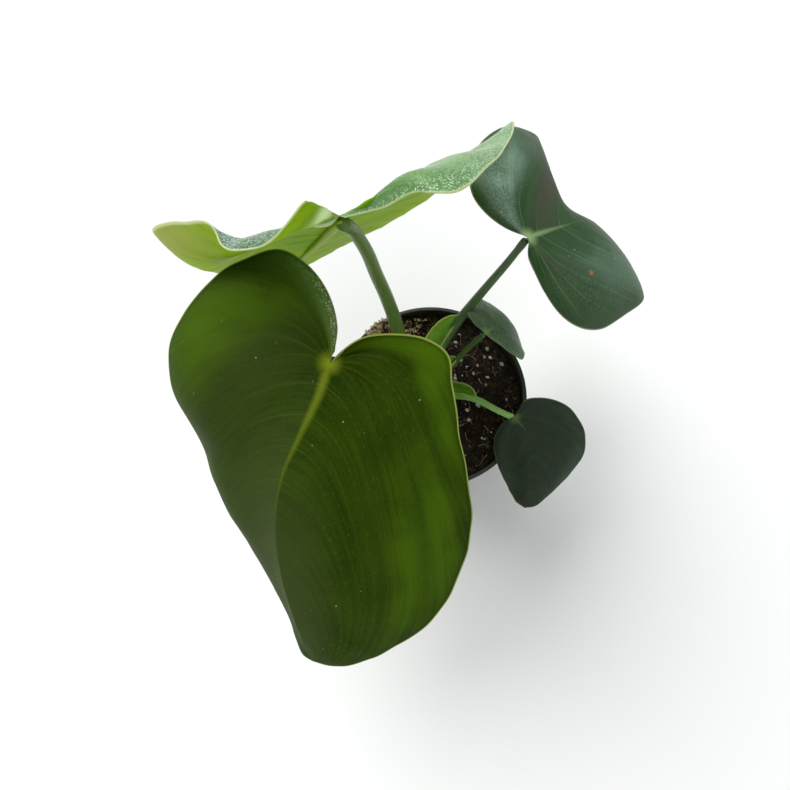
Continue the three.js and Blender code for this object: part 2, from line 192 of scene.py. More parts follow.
# The mould's own texture is about 0.1 mm; it is drawn at 0.4 mm, as coarse as it needs to show.
grit = add(tree, "TexNoise", {"Vector": place, "Scale": 1000 / 0.4, "Detail": 2.0})
bump = add(tree, "Bump", {"Height": grit, "Strength": 0.25, "Distance": 0.0001})
feed(shader, {"Base Color": tone, "Roughness": dull, "Normal": bump})

pot_profile = [
    (0, 0), (DRAIN_CIRCLE - 7, 0), (DRAIN_CIRCLE - 6, 1.6), (DRAIN_CIRCLE + 6, 1.6), (DRAIN_CIRCLE + 7, 0),
    (BASE_RADIUS - 1, 0), (BASE_RADIUS, 1.2), (SHOULDER, BAND_STEP - 1), (BAND_RADIUS, BAND_STEP),
    (BAND_RADIUS, POT_HEIGHT - 1.6), (RIM_RADIUS, POT_HEIGHT - 1.2), (RIM_RADIUS, POT_HEIGHT - 0.3),
    (RIM_RADIUS - 0.4, POT_HEIGHT), (RIM_RADIUS - 2.2, POT_HEIGHT), (RIM_RADIUS - 2.6, POT_HEIGHT - 0.5),
    (BAND_RADIUS - WALL, BAND_STEP + 1.5), (SHOULDER - WALL, BAND_STEP - 0.5), (BASE_RADIUS - WALL, 4),
    (0, 4),
]
pot = piece("nursery_pot", *spun(pot_profile, 180), black_pp)
drills, drill_faces = [], []
for k in range(DRAIN_HOLES):
    angle = 2 * math.pi * (k + 0.5) / DRAIN_HOLES
    ring, ring_faces = spun([(0, -5), (DRAIN_RADIUS, -5), (DRAIN_RADIUS, 12), (0, 12)], 36)
    drill_faces += [tuple(v + len(drills) for v in face) for face in ring_faces]
    away = around(DRAIN_CIRCLE, angle)
    drills += [(x + away[0], y + away[1], z) for x, y, z in ring]
drill = piece("drill", drills, drill_faces)
pot.modifiers.new("holes", "BOOLEAN").object = drill
softened = pot.modifiers.new("softened", "BEVEL")
softened.width, softened.segments = 0.0003, 2
softened.limit_method, softened.angle_limit = "ANGLE", math.radians(28)
applied(pot)
bpy.data.objects.remove(drill)
pot.data.set_sharp_from_angle(angle=math.radians(40))
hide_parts("pot")
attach(pot, "root")

# The potting mix: composted peat and bark, crumbled by hand and watered down to just below the rim.
# It is one body in the pot, with loose crumbs, coir fibre and white perlite grains lying on it.

SOIL_LEVEL = 95
HEAP_X, HEAP_Y, HEAP_HEIGHT, HEAP_SPREAD = -27, 46, 8.5, 110
BANK_FOOT, BANK_WIDTH, BANK_HEIGHT = 46, 11, 3


def soil_height(x, y):
    """The height of the mix at a place: it rolls, is pitted, and is heaped to the rim behind the plant."""
    roll = 1.1 * math.sin(x / 9 + 1.3) * math.cos(y / 11) + 0.7 * math.sin(x / 4.1 - y / 5.3)
    crumb = 0.6 * math.sin(x * 1.7 + 2.1 * math.sin(y / 3)) * math.sin(y * 1.5 + x / 4)
    heap = HEAP_HEIGHT * math.exp(-((x - HEAP_X) ** 2 + (y - HEAP_Y) ** 2) / HEAP_SPREAD)
    return SOIL_LEVEL + roll + crumb + heap


def soil_top(x, y):
    """The same with clods and pits of a few millimetres, banked a little against the pot's wall."""
    at = Vector((x, y, 3.7))
    clods = 1.6 * noise.noise(at / 4.5) + 0.9 * noise.noise(at / 1.9) + 0.4 * noise.noise(at / 0.9)
    banked = min(1, max(0, (math.hypot(x, y) - BANK_FOOT) / BANK_WIDTH)) ** 2
    return soil_height(x, y) + clods + BANK_HEIGHT * banked


# Moist peat and bark: nearly black where wet, brown where a crumb has dried, quite without gloss.
peat, tree, shader, place = fresh_material("moist_peat", {"Roughness": 0.92, "Specular IOR Level": 0.25})
patches = add(tree, "TexNoise", {"Vector": place, "Scale": 1000 / 6, "Detail": 6.0, "Roughness": 0.7})
tones = add(tree, "ValToRGB", {0: patches})
ramp = tones.node.color_ramp.elements
ramp[0].position, ramp[0].color = 0.34, paint("#120e09")
ramp[1].position, ramp[1].color = 0.72, paint("#4a3623")
ramp.new(0.52).color = paint("#261d13")
crumbs = add(tree, "TexNoise", {"Vector": place, "Scale": 1000 / 0.9, "Detail": 4.0})
bump = add(tree, "Bump", {"Height": crumbs, "Strength": 0.9, "Distance": 0.0005})
feed(shader, {"Base Color": tones, "Normal": bump})

soil_rings, soil_segments, soil_radius = 84, 216, BAND_RADIUS - WALL - 0.4
rows = [(soil_radius * i / soil_rings, None) for i in range(1, soil_rings + 1)]
rows += [(SHOULDER - WALL - 0.5, BAND_STEP - 0.8), (BASE_RADIUS - WALL - 0.6, 4.6)]
points, faces = [(0, 0, soil_top(0, 0))], []
for radius, height in rows:
    for k in range(soil_segments):
        x, y = around(radius, 2 * math.pi * k / soil_segments)
        points.append((x, y, height or soil_top(x, y)))
for k in range(soil_segments):
    after = (k + 1) % soil_segments
    faces.append((0, 1 + k, 1 + after))
    for i in range(soil_rings + 1):
        a = 1 + i * soil_segments
        faces.append((a + k, a + soil_segments + k, a + soil_segments + after, a + after))
faces.append(tuple(reversed(range(len(points) - soil_segments, len(points)))))
soil = piece("potting_mix", points, faces, peat)
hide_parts("soil")
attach(soil, "root")

# Loose crumbs of peat and bark on the mix, each broken to its own shape and colour. They lie where they
# fell when the pot was filled, all over it.

dice = random.Random(5)

ball = bmesh.new()
bmesh.ops.create_icosphere(ball, subdivisions=1, radius=1)
BALL_POINTS = np.array([v.co for v in ball.verts])
BALL_FACES = [[v.index for v in face.verts] for face in ball.faces]
bmesh.ops.subdivide_edges(ball, edges=ball.edges, cuts=1, use_grid_fill=True)
for v in ball.verts:
    v.co.normalize()
bmesh.ops.triangulate(ball, faces=ball.faces)
FINE_POINTS = np.array([v.co for v in ball.verts])
FINE_FACES = [[v.index for v in face.verts] for face in ball.faces]
ball.free()


def scattered(radius):
    """A random place within this radius, as likely anywhere in it."""
    reach = radius * math.sqrt(dice.random())
    return around(reach, dice.uniform(0, 2 * math.pi))


def mark_points(made, key, values):
    """Writes a number or a vector for each point of a mesh, for its material to read."""
    values = np.array(values, np.float32)
    kind, part = ("FLOAT", "value") if values.ndim == 1 else ("FLOAT_VECTOR", "vector")
    made.data.attributes.new(key, kind, "POINT").data.foreach_set(part, values.ravel())


def lumps(name, places, body, body_faces, material):
    """Lumps at places of (x, y, z, size, flatness, tone), each dented by its own noise, as one piece."""
    points, faces, tones = [], [], []
    for x, y, z, size, flat, tone in places:
        turned = Vector((dice.random(), dice.random(), dice.random()))
        spin = turned.to_track_quat("Z", "Y").to_matrix()
        stretch = np.array([1, dice.uniform(0.65, 1), flat])
        made = (body * stretch) @ np.array(spin).T
        seed = dice.uniform(0, 90)
        dents = np.array([1 + 0.35 * noise.noise(Vector(p) * 1.7 + Vector((seed, seed, 0))) for p in body])
        start = len(points)
        points += (made * dents[:, None] * size + np.array([x, y, z])).tolist()
        faces += [tuple(v + start for v in face) for face in body_faces]
        tones += [tone] * len(body)
    made = piece(name, points, faces, material)
    mark_points(made, "tone", tones)
    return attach(made, "root")


# Bark and peat crumbs: rough and dull, from black through red-brown to straw.
crumb_peat, tree, shader, place = fresh_material(
    "bark_crumbs", {"Roughness": 0.85, "Specular IOR Level": 0.3}
)
tone = add(tree, "Attribute", attribute_name="tone", gives="Fac")
tones = add(tree, "ValToRGB", {0: tone})
ramp = tones.node.color_ramp.elements
ramp[0].position, ramp[0].color = 0.2, paint("#120d09")
ramp[1].position, ramp[1].color = 1.0, paint("#8a7250")
ramp.new(0.6).color = paint("#2c1f14")
ramp.new(0.85).color = paint("#4c3826")
grains = add(tree, "TexNoise", {"Vector": place, "Scale": 1000 / 0.7, "Detail": 4.0})
mottle = add(tree, "Mix", {0: grains, 6: tones, 7: paint("#0f0b08")}, data_type="RGBA", gives=2)
bump = add(tree, "Bump", {"Height": grains, "Strength": 0.8, "Distance": 0.0003})
feed(shader, {"Base Color": mottle, "Normal": bump})

places = []
crumb_count = 1250
for _ in range(crumb_count):
    x, y = scattered(55.5)
    size = 0.5 + 1.5 * dice.random() ** 2.5
    places.append((x, y, soil_top(x, y) + 0.2 * size, size, dice.uniform(0.4, 0.9), dice.random()))
lumps("bark_crumbs", places, BALL_POINTS, BALL_FACES, crumb_peat)

# Perlite: popped volcanic glass, white and full of pores, soiled by the peat that it was mixed with.
# Grains of 1 to 4 mm lie half sunk in the mix.

perlite_white, tree, shader, place = fresh_material("soiled_perlite", {"Roughness": 0.8})
pores = add(tree, "TexVoronoi", {"Vector": place, "Scale": 1000 / 0.6})
dirt = add(tree, "TexNoise", {"Vector": place, "Scale": 1000 / 1.8, "Detail": 4.0})
soiled = add(tree, "MapRange", {0: dirt, 1: 0.42, 2: 0.66})
tone = add(tree, "Mix", {0: soiled, 6: paint("#d8d4c8"), 7: paint("#6e6250")}, data_type="RGBA", gives=2)
bump = add(tree, "Bump", {"Height": pores, "Strength": 0.8, "Distance": 0.0003})
feed(shader, {"Base Color": tone, "Normal": bump})

SEEN_GRAINS = [
    (-8, 54, 1.5), (-3, 54, 1.2), (17, 38, 1.4), (38, 33, 1.6), (40, 27, 1.3), (47, 22, 1.6), (20, 25, 1.3),
    (16, 12, 1.4), (30, -6, 1.9), (33, -3, 1.4), (23, -9, 1.7), (24, -16, 1.6), (36, 8, 1.1), (28, 16, 1.2),
]
places = [(x, y, soil_top(x, y) + 0.3, size, 0.8, 0.5) for x, y, size in SEEN_GRAINS]
other_grains = 64
for _ in range(other_grains):
    x, y = scattered(54)
    size = 0.5 + 0.9 * dice.random() ** 2
    places.append((x, y, soil_top(x, y) + 0.2, size, dice.uniform(0.6, 0.95), 0.5))
lumps("perlite", places, FINE_POINTS, FINE_FACES, perlite_white)

# Coir: dry coconut fibre and husk crumbs, straw to fox brown, worked into the mix and heaped behind the
# plant.


def carried_frames(line):
    """Tangents and two crosswise directions along a line, turned as little as possible."""
    ways = np.gradient(line, axis=0)
    ways /= np.linalg.norm(ways, axis=1)[:, None] + 1e-12
    start = np.cross(ways[0], (0.31, 0.22, 0.92) if abs(ways[0][2]) < 0.9 else (1, 0, 0))
    sides = [start / np.linalg.norm(start)]
    for way in ways[1:]:
        side = sides[-1] - way * (sides[-1] @ way)
        sides.append(side / np.linalg.norm(side))
    sides = np.array(sides)
    return ways, sides, np.cross(ways, sides)


def tube_grid(line, radii, sides):
    """Rings of points about a line, and the faces that close it into a tube with capped ends."""
    _, across, up = carried_frames(line)
    angles = np.linspace(0, 2 * math.pi, sides, endpoint=False)
    round_it = np.cos(angles)[None, :, None] * across[:, None] + np.sin(angles)[None, :, None] * up[:, None]
    rings = line[:, None] + radii[:, None, None] * round_it
    faces = []
    for i in range(len(line) - 1):
        for k in range(sides):
            a, b = i * sides + k, i * sides + (k + 1) % sides
            faces.append((a, b, b + sides, a + sides))
    faces.append(tuple(reversed(range(sides))))
    faces.append(tuple(range((len(line) - 1) * sides, len(line) * sides)))
    return rings.reshape(-1, 3), faces


coir_fibre, tree, shader, place = fresh_material("coir_fibre", {"Roughness": 0.8, "Specular IOR Level": 0.3})
tone = add(tree, "Attribute", attribute_name="tone", gives="Fac")
tones = add(tree, "ValToRGB", {0: tone})
ramp = tones.node.color_ramp.elements
ramp[0].position, ramp[0].color = 0.0, paint("#5a4432")
ramp[1].position, ramp[1].color = 1.0, paint("#d2bc98")
ramp.new(0.55).color = paint("#9c7d5c")
husk = add(tree, "TexNoise", {"Vector": place, "Scale": 1000 / 0.8, "Detail": 3.0})
darker = add(tree, "MapRange", {0: husk, 1: 0.45, 2: 0.75, 4: 0.6})
tone = add(tree, "Mix", {0: darker, 6: tones, 7: paint("#4a3524")}, data_type="RGBA", gives=2)
bump = add(tree, "Bump", {"Height": husk, "Strength": 0.6, "Distance": 0.0002})
feed(shader, {"Base Color": tone, "Normal": bump})

# Two fibres in three lie anywhere on the mix, the others on the heap.
fibre_count, fibre_steps = 300, 8
points, faces, tones = [], [], []
for k in range(fibre_count):
    if k % 3:
        x, y = scattered(54)
    else:
        x, y = dice.gauss(-27, 6), dice.gauss(43, 5)
    if math.hypot(x, y) > 54:
        continue
    heading, bend, length = dice.uniform(0, 6.3), dice.uniform(-0.25, 0.25), dice.uniform(3, 11)
    line = []
    for step in range(fibre_steps + 1):
        x += math.cos(heading) * length / fibre_steps
        y += math.sin(heading) * length / fibre_steps
        heading += bend + dice.uniform(-0.1, 0.1)
        if math.hypot(x, y) > 56:
            break
        line.append((x, y, soil_top(x, y) + 0.25 + 0.5 * math.sin(step / fibre_steps * math.pi)))
    if len(line) < 4:
        continue
    ring, ring_faces = tube_grid(np.array(line), np.full(len(line), dice.uniform(0.09, 0.2)), 5)
    faces += [tuple(v + len(points) for v in face) for face in ring_faces]
    points += ring.tolist()
    tones += [dice.random()] * len(ring)
coir = piece("coir_fibres", points, faces, coir_fibre)
mark_points(coir, "tone", tones)
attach(coir, "root")

# The husk covers the heap, and runs on over the rim between two angles.
heap_husk, rim_husk, rim_angles, rim_reach = 420, 90, (117, 137), (52, 60)
places = []
for _ in range(heap_husk):
    x, y = dice.gauss(-24, 10), dice.gauss(46, 6)
    if math.hypot(x, y) < 56:
        size = 0.4 + 1.1 * dice.random() ** 2
        places.append((x, y, soil_top(x, y) + 0.3 * size, size, dice.uniform(0.3, 0.8), dice.uniform(0.4, 1)))
for _ in range(rim_husk):
    angle, reach = math.radians(dice.uniform(*rim_angles)), dice.uniform(*rim_reach)
    lying = POT_HEIGHT - 3.5 + 4 * (reach - rim_reach[0]) / (rim_reach[1] - rim_reach[0])
    size = dice.uniform(1, 2.6)
    places.append((*around(reach, angle), lying, size, dice.uniform(0.3, 0.6), dice.uniform(0.85, 1)))
lumps("coir_husk", places, BALL_POINTS, BALL_FACES, coir_fibre)

# The stem: a short fleshy shoot, ringed with the scars of fallen leaves. It stands rooted in a plain hole
# in the mix, and each leaf's sheath clasps it.

STEM_PLACE, STEM_RADIUS, STEM_TOP, STEM_ROOT = (-3, 4), 6.5, 113, 62

# Young stem skin: green-brown and corky in bands, with a dull wax on it.
stem_skin, tree, shader, place = fresh_material("corky_stem_skin", {"Roughness": 0.62})
height = add(tree, "SeparateXYZ", {0: place}, gives="Z")
wobble = add(tree, "TexNoise", {"Vector": place, "Scale": 180.0, "Detail": 4.0})
rings = add(tree, "Math", {0: height, 1: 2 * math.pi / 0.0042}, operation="MULTIPLY")
rings = add(tree, "Math", {0: wobble, 1: 3.0, 2: rings}, operation="MULTIPLY_ADD")
rings = add(tree, "Math", {0: rings}, operation="SINE")
band = add(tree, "MapRange", {0: rings, 1: 0.1, 2: 0.95})
tone = add(tree, "Mix", {0: band, 6: paint("#5d6b34"), 7: paint("#7a6a45")}, data_type="RGBA", gives=2)
bump = add(tree, "Bump", {"Height": band, "Strength": 0.7, "Distance": 0.0004})
feed(shader, {"Base Color": tone, "Normal": bump})

stem_profile = [
    (0, STEM_ROOT), (STEM_RADIUS - 2, STEM_ROOT), (STEM_RADIUS - 1, STEM_ROOT + 2),
    (STEM_RADIUS - 0.5, SOIL_LEVEL - 1), (STEM_RADIUS, SOIL_LEVEL + 2), (STEM_RADIUS - 0.5, SOIL_LEVEL + 4),
    (STEM_RADIUS, SOIL_LEVEL + 7), (STEM_RADIUS - 0.8, SOIL_LEVEL + 9),
    (STEM_RADIUS - 0.6, SOIL_LEVEL + 13), (STEM_RADIUS - 2.2, STEM_TOP - 2), (STEM_RADIUS - 4.5, STEM_TOP),
    (0, STEM_TOP + 0.4),
]
points, faces = spun(stem_profile, 48)
stem = piece("stem_shoot", np.array(points) + (*STEM_PLACE, 0), faces, stem_skin)
rounded = stem.modifiers.new("rounded", "SUBSURF")
rounded.levels = rounded.render_levels = 1
applied(stem)
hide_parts("stem")
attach(stem, "root")

# The leaves: each is a heart-shaped blade on a round stalk, whose sheathed foot clasps the stem. The blade
# is leathery, pebbled between its veins, and bound by a thin pale horny margin.

# A leaf's own frame: x along the midrib from the stalk's end, y to the left, z out of the upper face, in
# mm. Rib rows are (x, y, z). Margin rows run from the sinus to the tip and add the rise that arches the
# blade. Veins leave the midrib and bend towards the tip; sweep is (bend, its fading towards the tip, its
# onset). The margin ripples in a few waves. Strokes are (vein, way out, breadth, reach, weight): the places
# are shares, from the sinus and from the midrib.
# The strokes paint light and shade into a blade's colour: glow where light shines through or catches,
# shading, glints and sheen.
FAN_SHARE, VEIN_SWEEP = 0.34, 1.15


def smooth_line(rows, shares):
    """Points at these shares of the way along a smooth line through the rows."""
    rows = np.array(rows, float)
    guides = np.concatenate([[2 * rows[0] - rows[1]], rows, [2 * rows[-1] - rows[-2]]])
    t = np.linspace(0, 1, 48, endpoint=False)[:, None]
    spans = []
    for p0, p1, p2, p3 in zip(guides, guides[1:], guides[2:], guides[3:]):
        gaps = [max(((b - a)[:3] ** 2).sum() ** 0.25, 1e-4) for a, b in ((p0, p1), (p1, p2), (p2, p3))]
        out = ((p1 - p0) / gaps[0] - (p2 - p0) / (gaps[0] + gaps[1]) + (p2 - p1) / gaps[1]) * gaps[1]
        into = ((p2 - p1) / gaps[1] - (p3 - p1) / (gaps[1] + gaps[2]) + (p3 - p2) / gaps[2]) * gaps[1]
        out[3:], into[3:] = (p2 - p0)[3:] / 2, (p3 - p1)[3:] / 2
        bend, twist = 3 * (p2 - p1) - 2 * out - into, 2 * (p1 - p2) + out + into
        spans.append(p1 + out * t + bend * t**2 + twist * t**3)
    line = np.concatenate([*spans, rows[-1:]])
    length = np.r_[0, np.cumsum(np.linalg.norm(np.diff(line[:, :3], axis=0), axis=1))]
    return np.stack([np.interp(shares * length[-1], length, line[:, k]) for k in range(line.shape[1])], 1)


def leaf_turn(leaf):
    """The leaf's own frame as a rotation: heading, pitch down and roll."""
    heading, pitch, roll = np.radians(leaf["turn"])
    ch, sh, cp, sp, cr, sr = (f(a) for a in (heading, pitch, roll) for f in (math.cos, math.sin))
    return (
        np.array([[ch, -sh, 0], [sh, ch, 0], [0, 0, 1]])
        @ np.array([[cp, 0, sp], [0, 1, 0], [-sp, 0, cp]])
        @ np.array([[1, 0, 0], [0, cr, -sr], [0, sr, cr]])
    )


def in_place(leaf, points):
    """Points of the leaf's own frame, where they stand on the plant."""
    return np.asarray(points) @ leaf_turn(leaf).T + np.array(leaf["at"])


def soft_strokes(strokes, vein, out):
    """How far soft brush strokes cover the places of a blade."""
    cover = np.zeros_like(out)
    for at, way_out, breadth, reach, weight in strokes:
        away = ((vein - at) / breadth) ** 2 + ((out - way_out) / reach) ** 2
        cover = np.maximum(cover, weight * np.exp(-(away**1.5)))
    return cover


def blade_sheet(leaf):
    """The middle surface of a blade as a grid, with each place's vein and way across."""
    share = np.linspace(0, 1, leaf["veins"] * 16 + 1)
    spread = (1 - np.cos(np.linspace(0, math.pi, leaf["columns"] + 1))) / 2
    along_rib = np.maximum(0, (share - FAN_SHARE) / (1 - FAN_SHARE)) ** VEIN_SWEEP
    root = smooth_line(leaf["rib"], along_rib)[:, None]
    left_over = 1 - share[:, None]
    halves, veins = [], []
    for side in ("left", "right"):
        edge = smooth_line(leaf[side], share)[:, None]
        waves = [[noise.noise(Vector((w * leaf["waves"], len(side), k))) for k in (0.3, 7.3)] for w in share]
        calm = np.clip((share - 0.13) / 0.1, 0, 1) * np.minimum(1, (1 - share) / 0.06)
        waves = np.array(waves)[:, None] * calm[:, None, None] * leaf["wave_mm"]
        away = edge[..., :3] - root
        edge[..., :3] += waves[..., :1] * away / (np.linalg.norm(away, axis=2)[..., None] + 1e-9)
        edge[..., 2] += waves[..., 1]
        grid = root * (1 - spread[None, :, None]) + edge[..., :3] * spread[None, :, None]
        swell = leaf["swell"][side]
        peak = (swell + 1) ** (swell + 1) / swell**swell
        grid[..., 2] += edge[..., 3] * spread**swell * (1 - spread) * peak
        halves.append(grid)
        bend, fading, onset = leaf["sweep"][side]
        veins.append(1 - left_over ** (1 / (1 + bend * left_over**fading * spread**onset)))
    sheet = np.concatenate([halves[0][:, :0:-1], halves[1]], 1)
    vein = np.concatenate([veins[0][:, :0:-1], veins[1]], 1)
    across = np.broadcast_to(np.concatenate([-spread[:0:-1], spread]), vein.shape)
    return sheet, share, vein, across


def blade_marks(leaf, sheet, share, vein, across):
    """What the skin is coloured by: distances in mm from the veins and edges, and the painted light and
    shade.
    """
    out, line = np.abs(across), across[0]
    width = np.linalg.norm(sheet[:, [0, -1]] - sheet[:, [leaf["columns"]]], axis=2)
    width = np.where(across < 0, width[:, :1], width[:, 1:])
    along, outward = np.gradient(sheet, share, axis=0), np.gradient(sheet, line, axis=1)
    rise, drift = np.gradient(vein, share, axis=0), np.gradient(vein, line, axis=1)
    e, f, g = (along**2).sum(2), (along * outward).sum(2), (outward**2).sum(2)
    steep = np.sqrt(np.abs(g * rise**2 - 2 * f * rise * drift + e * drift**2) / (np.abs(e * g - f**2) + 1.0))
    apart = 1 / (leaf["veins"] * steep + 1e-3)
    phase = np.abs((vein * leaf["veins"] + 0.5) % 1 - 0.5)
    marks = {
        "rib_mm": out * width,
        "edge_mm": (1 - out) * width,
        "vein_mm": phase * apart,
        "room_mm": apart,
        "junction_mm": np.linalg.norm(sheet, axis=2),
    }
    # Each channel's strokes mark where light or shade is painted into the skin: glow, shading, glints and
    # sheen.
    for channel in ("glow", "dusk", "painted_glints", "sheen"):
        for face in ("", "_under"):
            strokes = leaf.get(channel + face, {})
            cover = [soft_strokes(strokes.get(side, ()), vein, out) for side in ("left", "right")]
            marks[channel + face] = np.where(across < 0, *cover)
    return marks


def blade(name, leaf, upper, under):
    """The blade as a closed skin, grooved along its veins above, ridged beneath, with a rounded margin."""
    sheet, share, vein, across = blade_sheet(leaf)
    marks = blade_marks(leaf, sheet, share, vein, across)
    shape = vein.shape
    flat = sheet.reshape(-1, 3)
    _, first, ids = np.unique(flat.round(4), axis=0, return_index=True, return_inverse=True)
    ids, points = ids.reshape(shape), flat[first]
    marks = {key: value.reshape(-1)[first] for key, value in marks.items()}
    faces, corners = [], []
    for i in range(shape[0] - 1):
        for j in range(shape[1] - 1):
            at = {}
            for r, c in ((i, j), (i, j + 1), (i + 1, j + 1), (i + 1, j)):
                at.setdefault(int(ids[r, c]), (r, c))
            if len(at) > 2:
                faces.append(list(at))
                corners.append(list(at.values()))
    normals = np.zeros_like(points)
    edges = {}
    for face in faces:
        a, b, c, d = (points[face[k]] for k in (0, 1, 2, -1))
        facing = np.cross(c - a, d - b) if len(face) == 4 else np.cross(b - a, c - a)
        for k, vertex in enumerate(face):
            normals[vertex] += facing
            pair = (vertex, face[(k + 1) % len(face)])
            if edges.pop(pair[::-1], None) is None:
                edges[pair] = True
    normals /= np.linalg.norm(normals, axis=1)[:, None] + 1e-12

    # The two faces part along the normals. Those are evened out over their neighbours, and the wall thins at
    # tight folds and at the junction, so that the faces cross in fewer places.
    evenings, half, groove, ridge, round_mm, vein_mm = 14, 0.45, 0.06, 0.3, 3, 0.9
    a, b = np.array([pair for face in faces for pair in zip(face, face[1:] + face[:1])]).T
    for _ in range(evenings):
        evened = normals.copy()
        np.add.at(evened, a, normals[b])
        np.add.at(evened, b, normals[a])
        normals = evened / (np.linalg.norm(evened, axis=1)[:, None] + 1e-12)

    rim_near = np.clip(marks["edge_mm"] / round_mm, 0, 1)
    turning = np.linalg.norm(normals[a] - normals[b], axis=1) / np.linalg.norm(points[a] - points[b], axis=1)
    folded = np.zeros(len(points))
    np.maximum.at(folded, a, turning)
    np.maximum.at(folded, b, turning)
    slack = np.clip(0.5 / (folded + 1e-6) / half, 0.2, 1) * np.clip(marks["junction_mm"] / 5, 0.2, 1)
    wall = half * (0.58 + 0.42 * rim_near) * slack
    lateral = np.exp(-((marks["vein_mm"] / vein_mm) ** 2)) * np.clip(marks["room_mm"] / 4 - 0.5, 0, 1)
    lateral *= np.clip(marks["rib_mm"] / 4, 0, 1) * np.clip(marks["edge_mm"] / 14, 0, 1) * slack
    size = leaf["quilt_mm"]
    places = [Vector(p) for p in points]
    quilt = np.array([noise.noise(p / size) + 0.5 * noise.noise(p * 2.1 / size) for p in places])
    quilt *= leaf["quilt"] * rim_near
    top = points + normals * (wall - groove * lateral + quilt)[:, None]
    bottom = points - normals * (wall + ridge * lateral - quilt)[:, None]
    outward = np.zeros_like(points)
    for a, b in edges:
        outward[[a, b]] += np.cross(points[b] - points[a], normals[a])
    bound = sorted({vertex for pair in edges for vertex in pair})
    rim = points[bound] + 0.3 * outward[bound] / (np.linalg.norm(outward[bound], axis=1)[:, None] + 1e-12)
    count = len(points)
    rim_id = {vertex: 2 * count + k for k, vertex in enumerate(bound)}
    whole = list(faces) + [[v + count for v in reversed(face)] for face in faces]
    for a, b in edges:
        whole += [[b, a, rim_id[a], rim_id[b]], [rim_id[b], rim_id[a], a + count, b + count]]
    made = piece(name, in_place(leaf, np.concatenate([top, bottom, rim])), whole, upper, under)
    sides = [0] * len(faces) + [1] * len(faces) + [0] * 2 * len(edges)
    made.data.polygons.foreach_set("material_index", sides)

    uv = []
    for flip in (False, True):
        for corner in corners:
            for place in reversed(corner) if flip else corner:
                uv += [0.5 + across[place] / 2, vein[place]]
    edge_uv = {int(ids[r, c]): (0.5 + across[r, c] / 2, vein[r, c]) for c in (0, -1) for r in range(shape[0])}
    for a, b in edges:
        ends = edge_uv.get(a, (0.5, 0)), edge_uv.get(b, (0.5, 0))
        uv += [*ends[1], *ends[0], *ends[0], *ends[1], *ends[1], *ends[0], *ends[0], *ends[1]]
    made.data.uv_layers.new(name="veins").data.foreach_set("uv", uv)
    for key, value in marks.items():
        if not key.endswith("_under"):
            mark_points(made, key, np.concatenate([value, marks.get(key + "_under", value), value[bound]]))
    return made


def stalk_line(leaf, steps):
    """The stalk's middle line, from its foot to the knee under the blade."""
    knee = in_place(leaf, [0.5, 0, -leaf["radius"][1]])
    return smooth_line([*leaf["stalk"], knee], np.linspace(0, 1, steps + 1))


def tube(name, line, radii, sides, skin):
    """A round tube about a line, marked with the direction of its fibres."""
    points, faces = tube_grid(line, radii, sides)
    made = piece(name, points, faces, skin)
    angles = np.linspace(0, 2 * math.pi, sides, endpoint=False)
    run, turn = np.repeat(np.arange(len(line)) * 1.6, sides), np.tile(angles, len(line))
    mark_points(made, "fibre", np.stack([np.cos(turn), np.sin(turn), run], 1))
    return made


def stalk(name, leaf, skin):
    """The round stalk, with a slight knee where it carries the blade."""
    foot, top = leaf["radius"]
    steps, sides = 110, 28
    line = stalk_line(leaf, steps)
    t = np.linspace(0, 1, len(line))
    radii = foot + (top - foot) * t + top * 0.14 * np.exp(-(((t - 0.965) / 0.03) ** 2))
    radii *= np.sqrt(np.clip(1 - ((t - 0.992) / 0.0081) ** 2, 0.05, 1)) ** (t > 0.992)
    return tube(name, line, radii, sides, skin)


def keel(name, leaf, skin):
    """The midrib's keel beneath the blade: it runs on from the stalk and thins towards the tip."""
    thick, thin, sunk, steps, sides = leaf["radius"][1] * 0.8, 0.5, 0.3, 90, 16
    s = np.linspace(0, 1, steps)
    radii = thick + (thin - thick) * s**0.7
    line = smooth_line(leaf["rib"], s)
    line[:, 2] -= radii + sunk
    return tube(name, in_place(leaf, line), radii * np.minimum(1, 0.2 + s / 0.05), sides, skin)


def sheath(name, leaf, skin):
    """The trough at the stalk's foot: thin, clasping the stem, with papery edges and a free tip."""
    reach, half_width, depth, aside = leaf["sheath"]
    steps, across, fineness, thickness = 44, 22, 400, 0.0009
    line = stalk_line(leaf, fineness)
    ways = np.gradient(line, axis=0)
    ways /= np.linalg.norm(ways, axis=1)[:, None]
    points, edge = [], []
    for i in range(steps + 1):
        at = int(round(fineness * reach * i / steps))
        middle, way = line[at], ways[at]
        inward = np.array([0.03 * (STEM_PLACE[0] - middle[0]), 0.03 * (STEM_PLACE[1] - middle[1]), 1])
        inward -= way * (inward @ way)
        inward /= np.linalg.norm(inward)
        sideways = np.cross(way, inward)
        taper = math.sqrt(max(0.03, 1 - (i / steps) ** 4))
        for k in range(across + 1):
            t = 2 * k / across - 1
            ripple = 0.25 * math.sin(i * 0.55 + 2 * t) * abs(t) ** 3
            lift = depth * t * t * taper + 0.8 + ripple
            points.append(middle + sideways * (t * half_width + aside) * taper + inward * lift)
            edge.append(min((1 - abs(t)) * half_width, (1 - i / steps) * 30 + 0.2))
    faces = []
    for i in range(steps):
        for k in range(across):
            a = i * (across + 1) + k
            faces.append((a, a + across + 1, a + across + 2, a + 1))
    made = piece(name, points, faces, skin)
    mark_points(made, "edge_mm", edge)
    wall = made.modifiers.new("wall", "SOLIDIFY")
    wall.thickness, wall.offset = thickness, 0
    bevel = made.modifiers.new("soft_edge", "BEVEL")
    bevel.width, bevel.segments, bevel.limit_method = 0.0003, 2, "ANGLE"
    return applied(made)


def flesh(thin, gloss):
    """Shader inputs of living tissue: how much light passes through it, and how glossy it is."""
    return {
        "IOR": 1.42, "Specular IOR Level": gloss, "Subsurface Weight": thin, "Subsurface Scale": 0.0015,
        "Subsurface Radius": (0.7, 1.0, 0.2),
    }


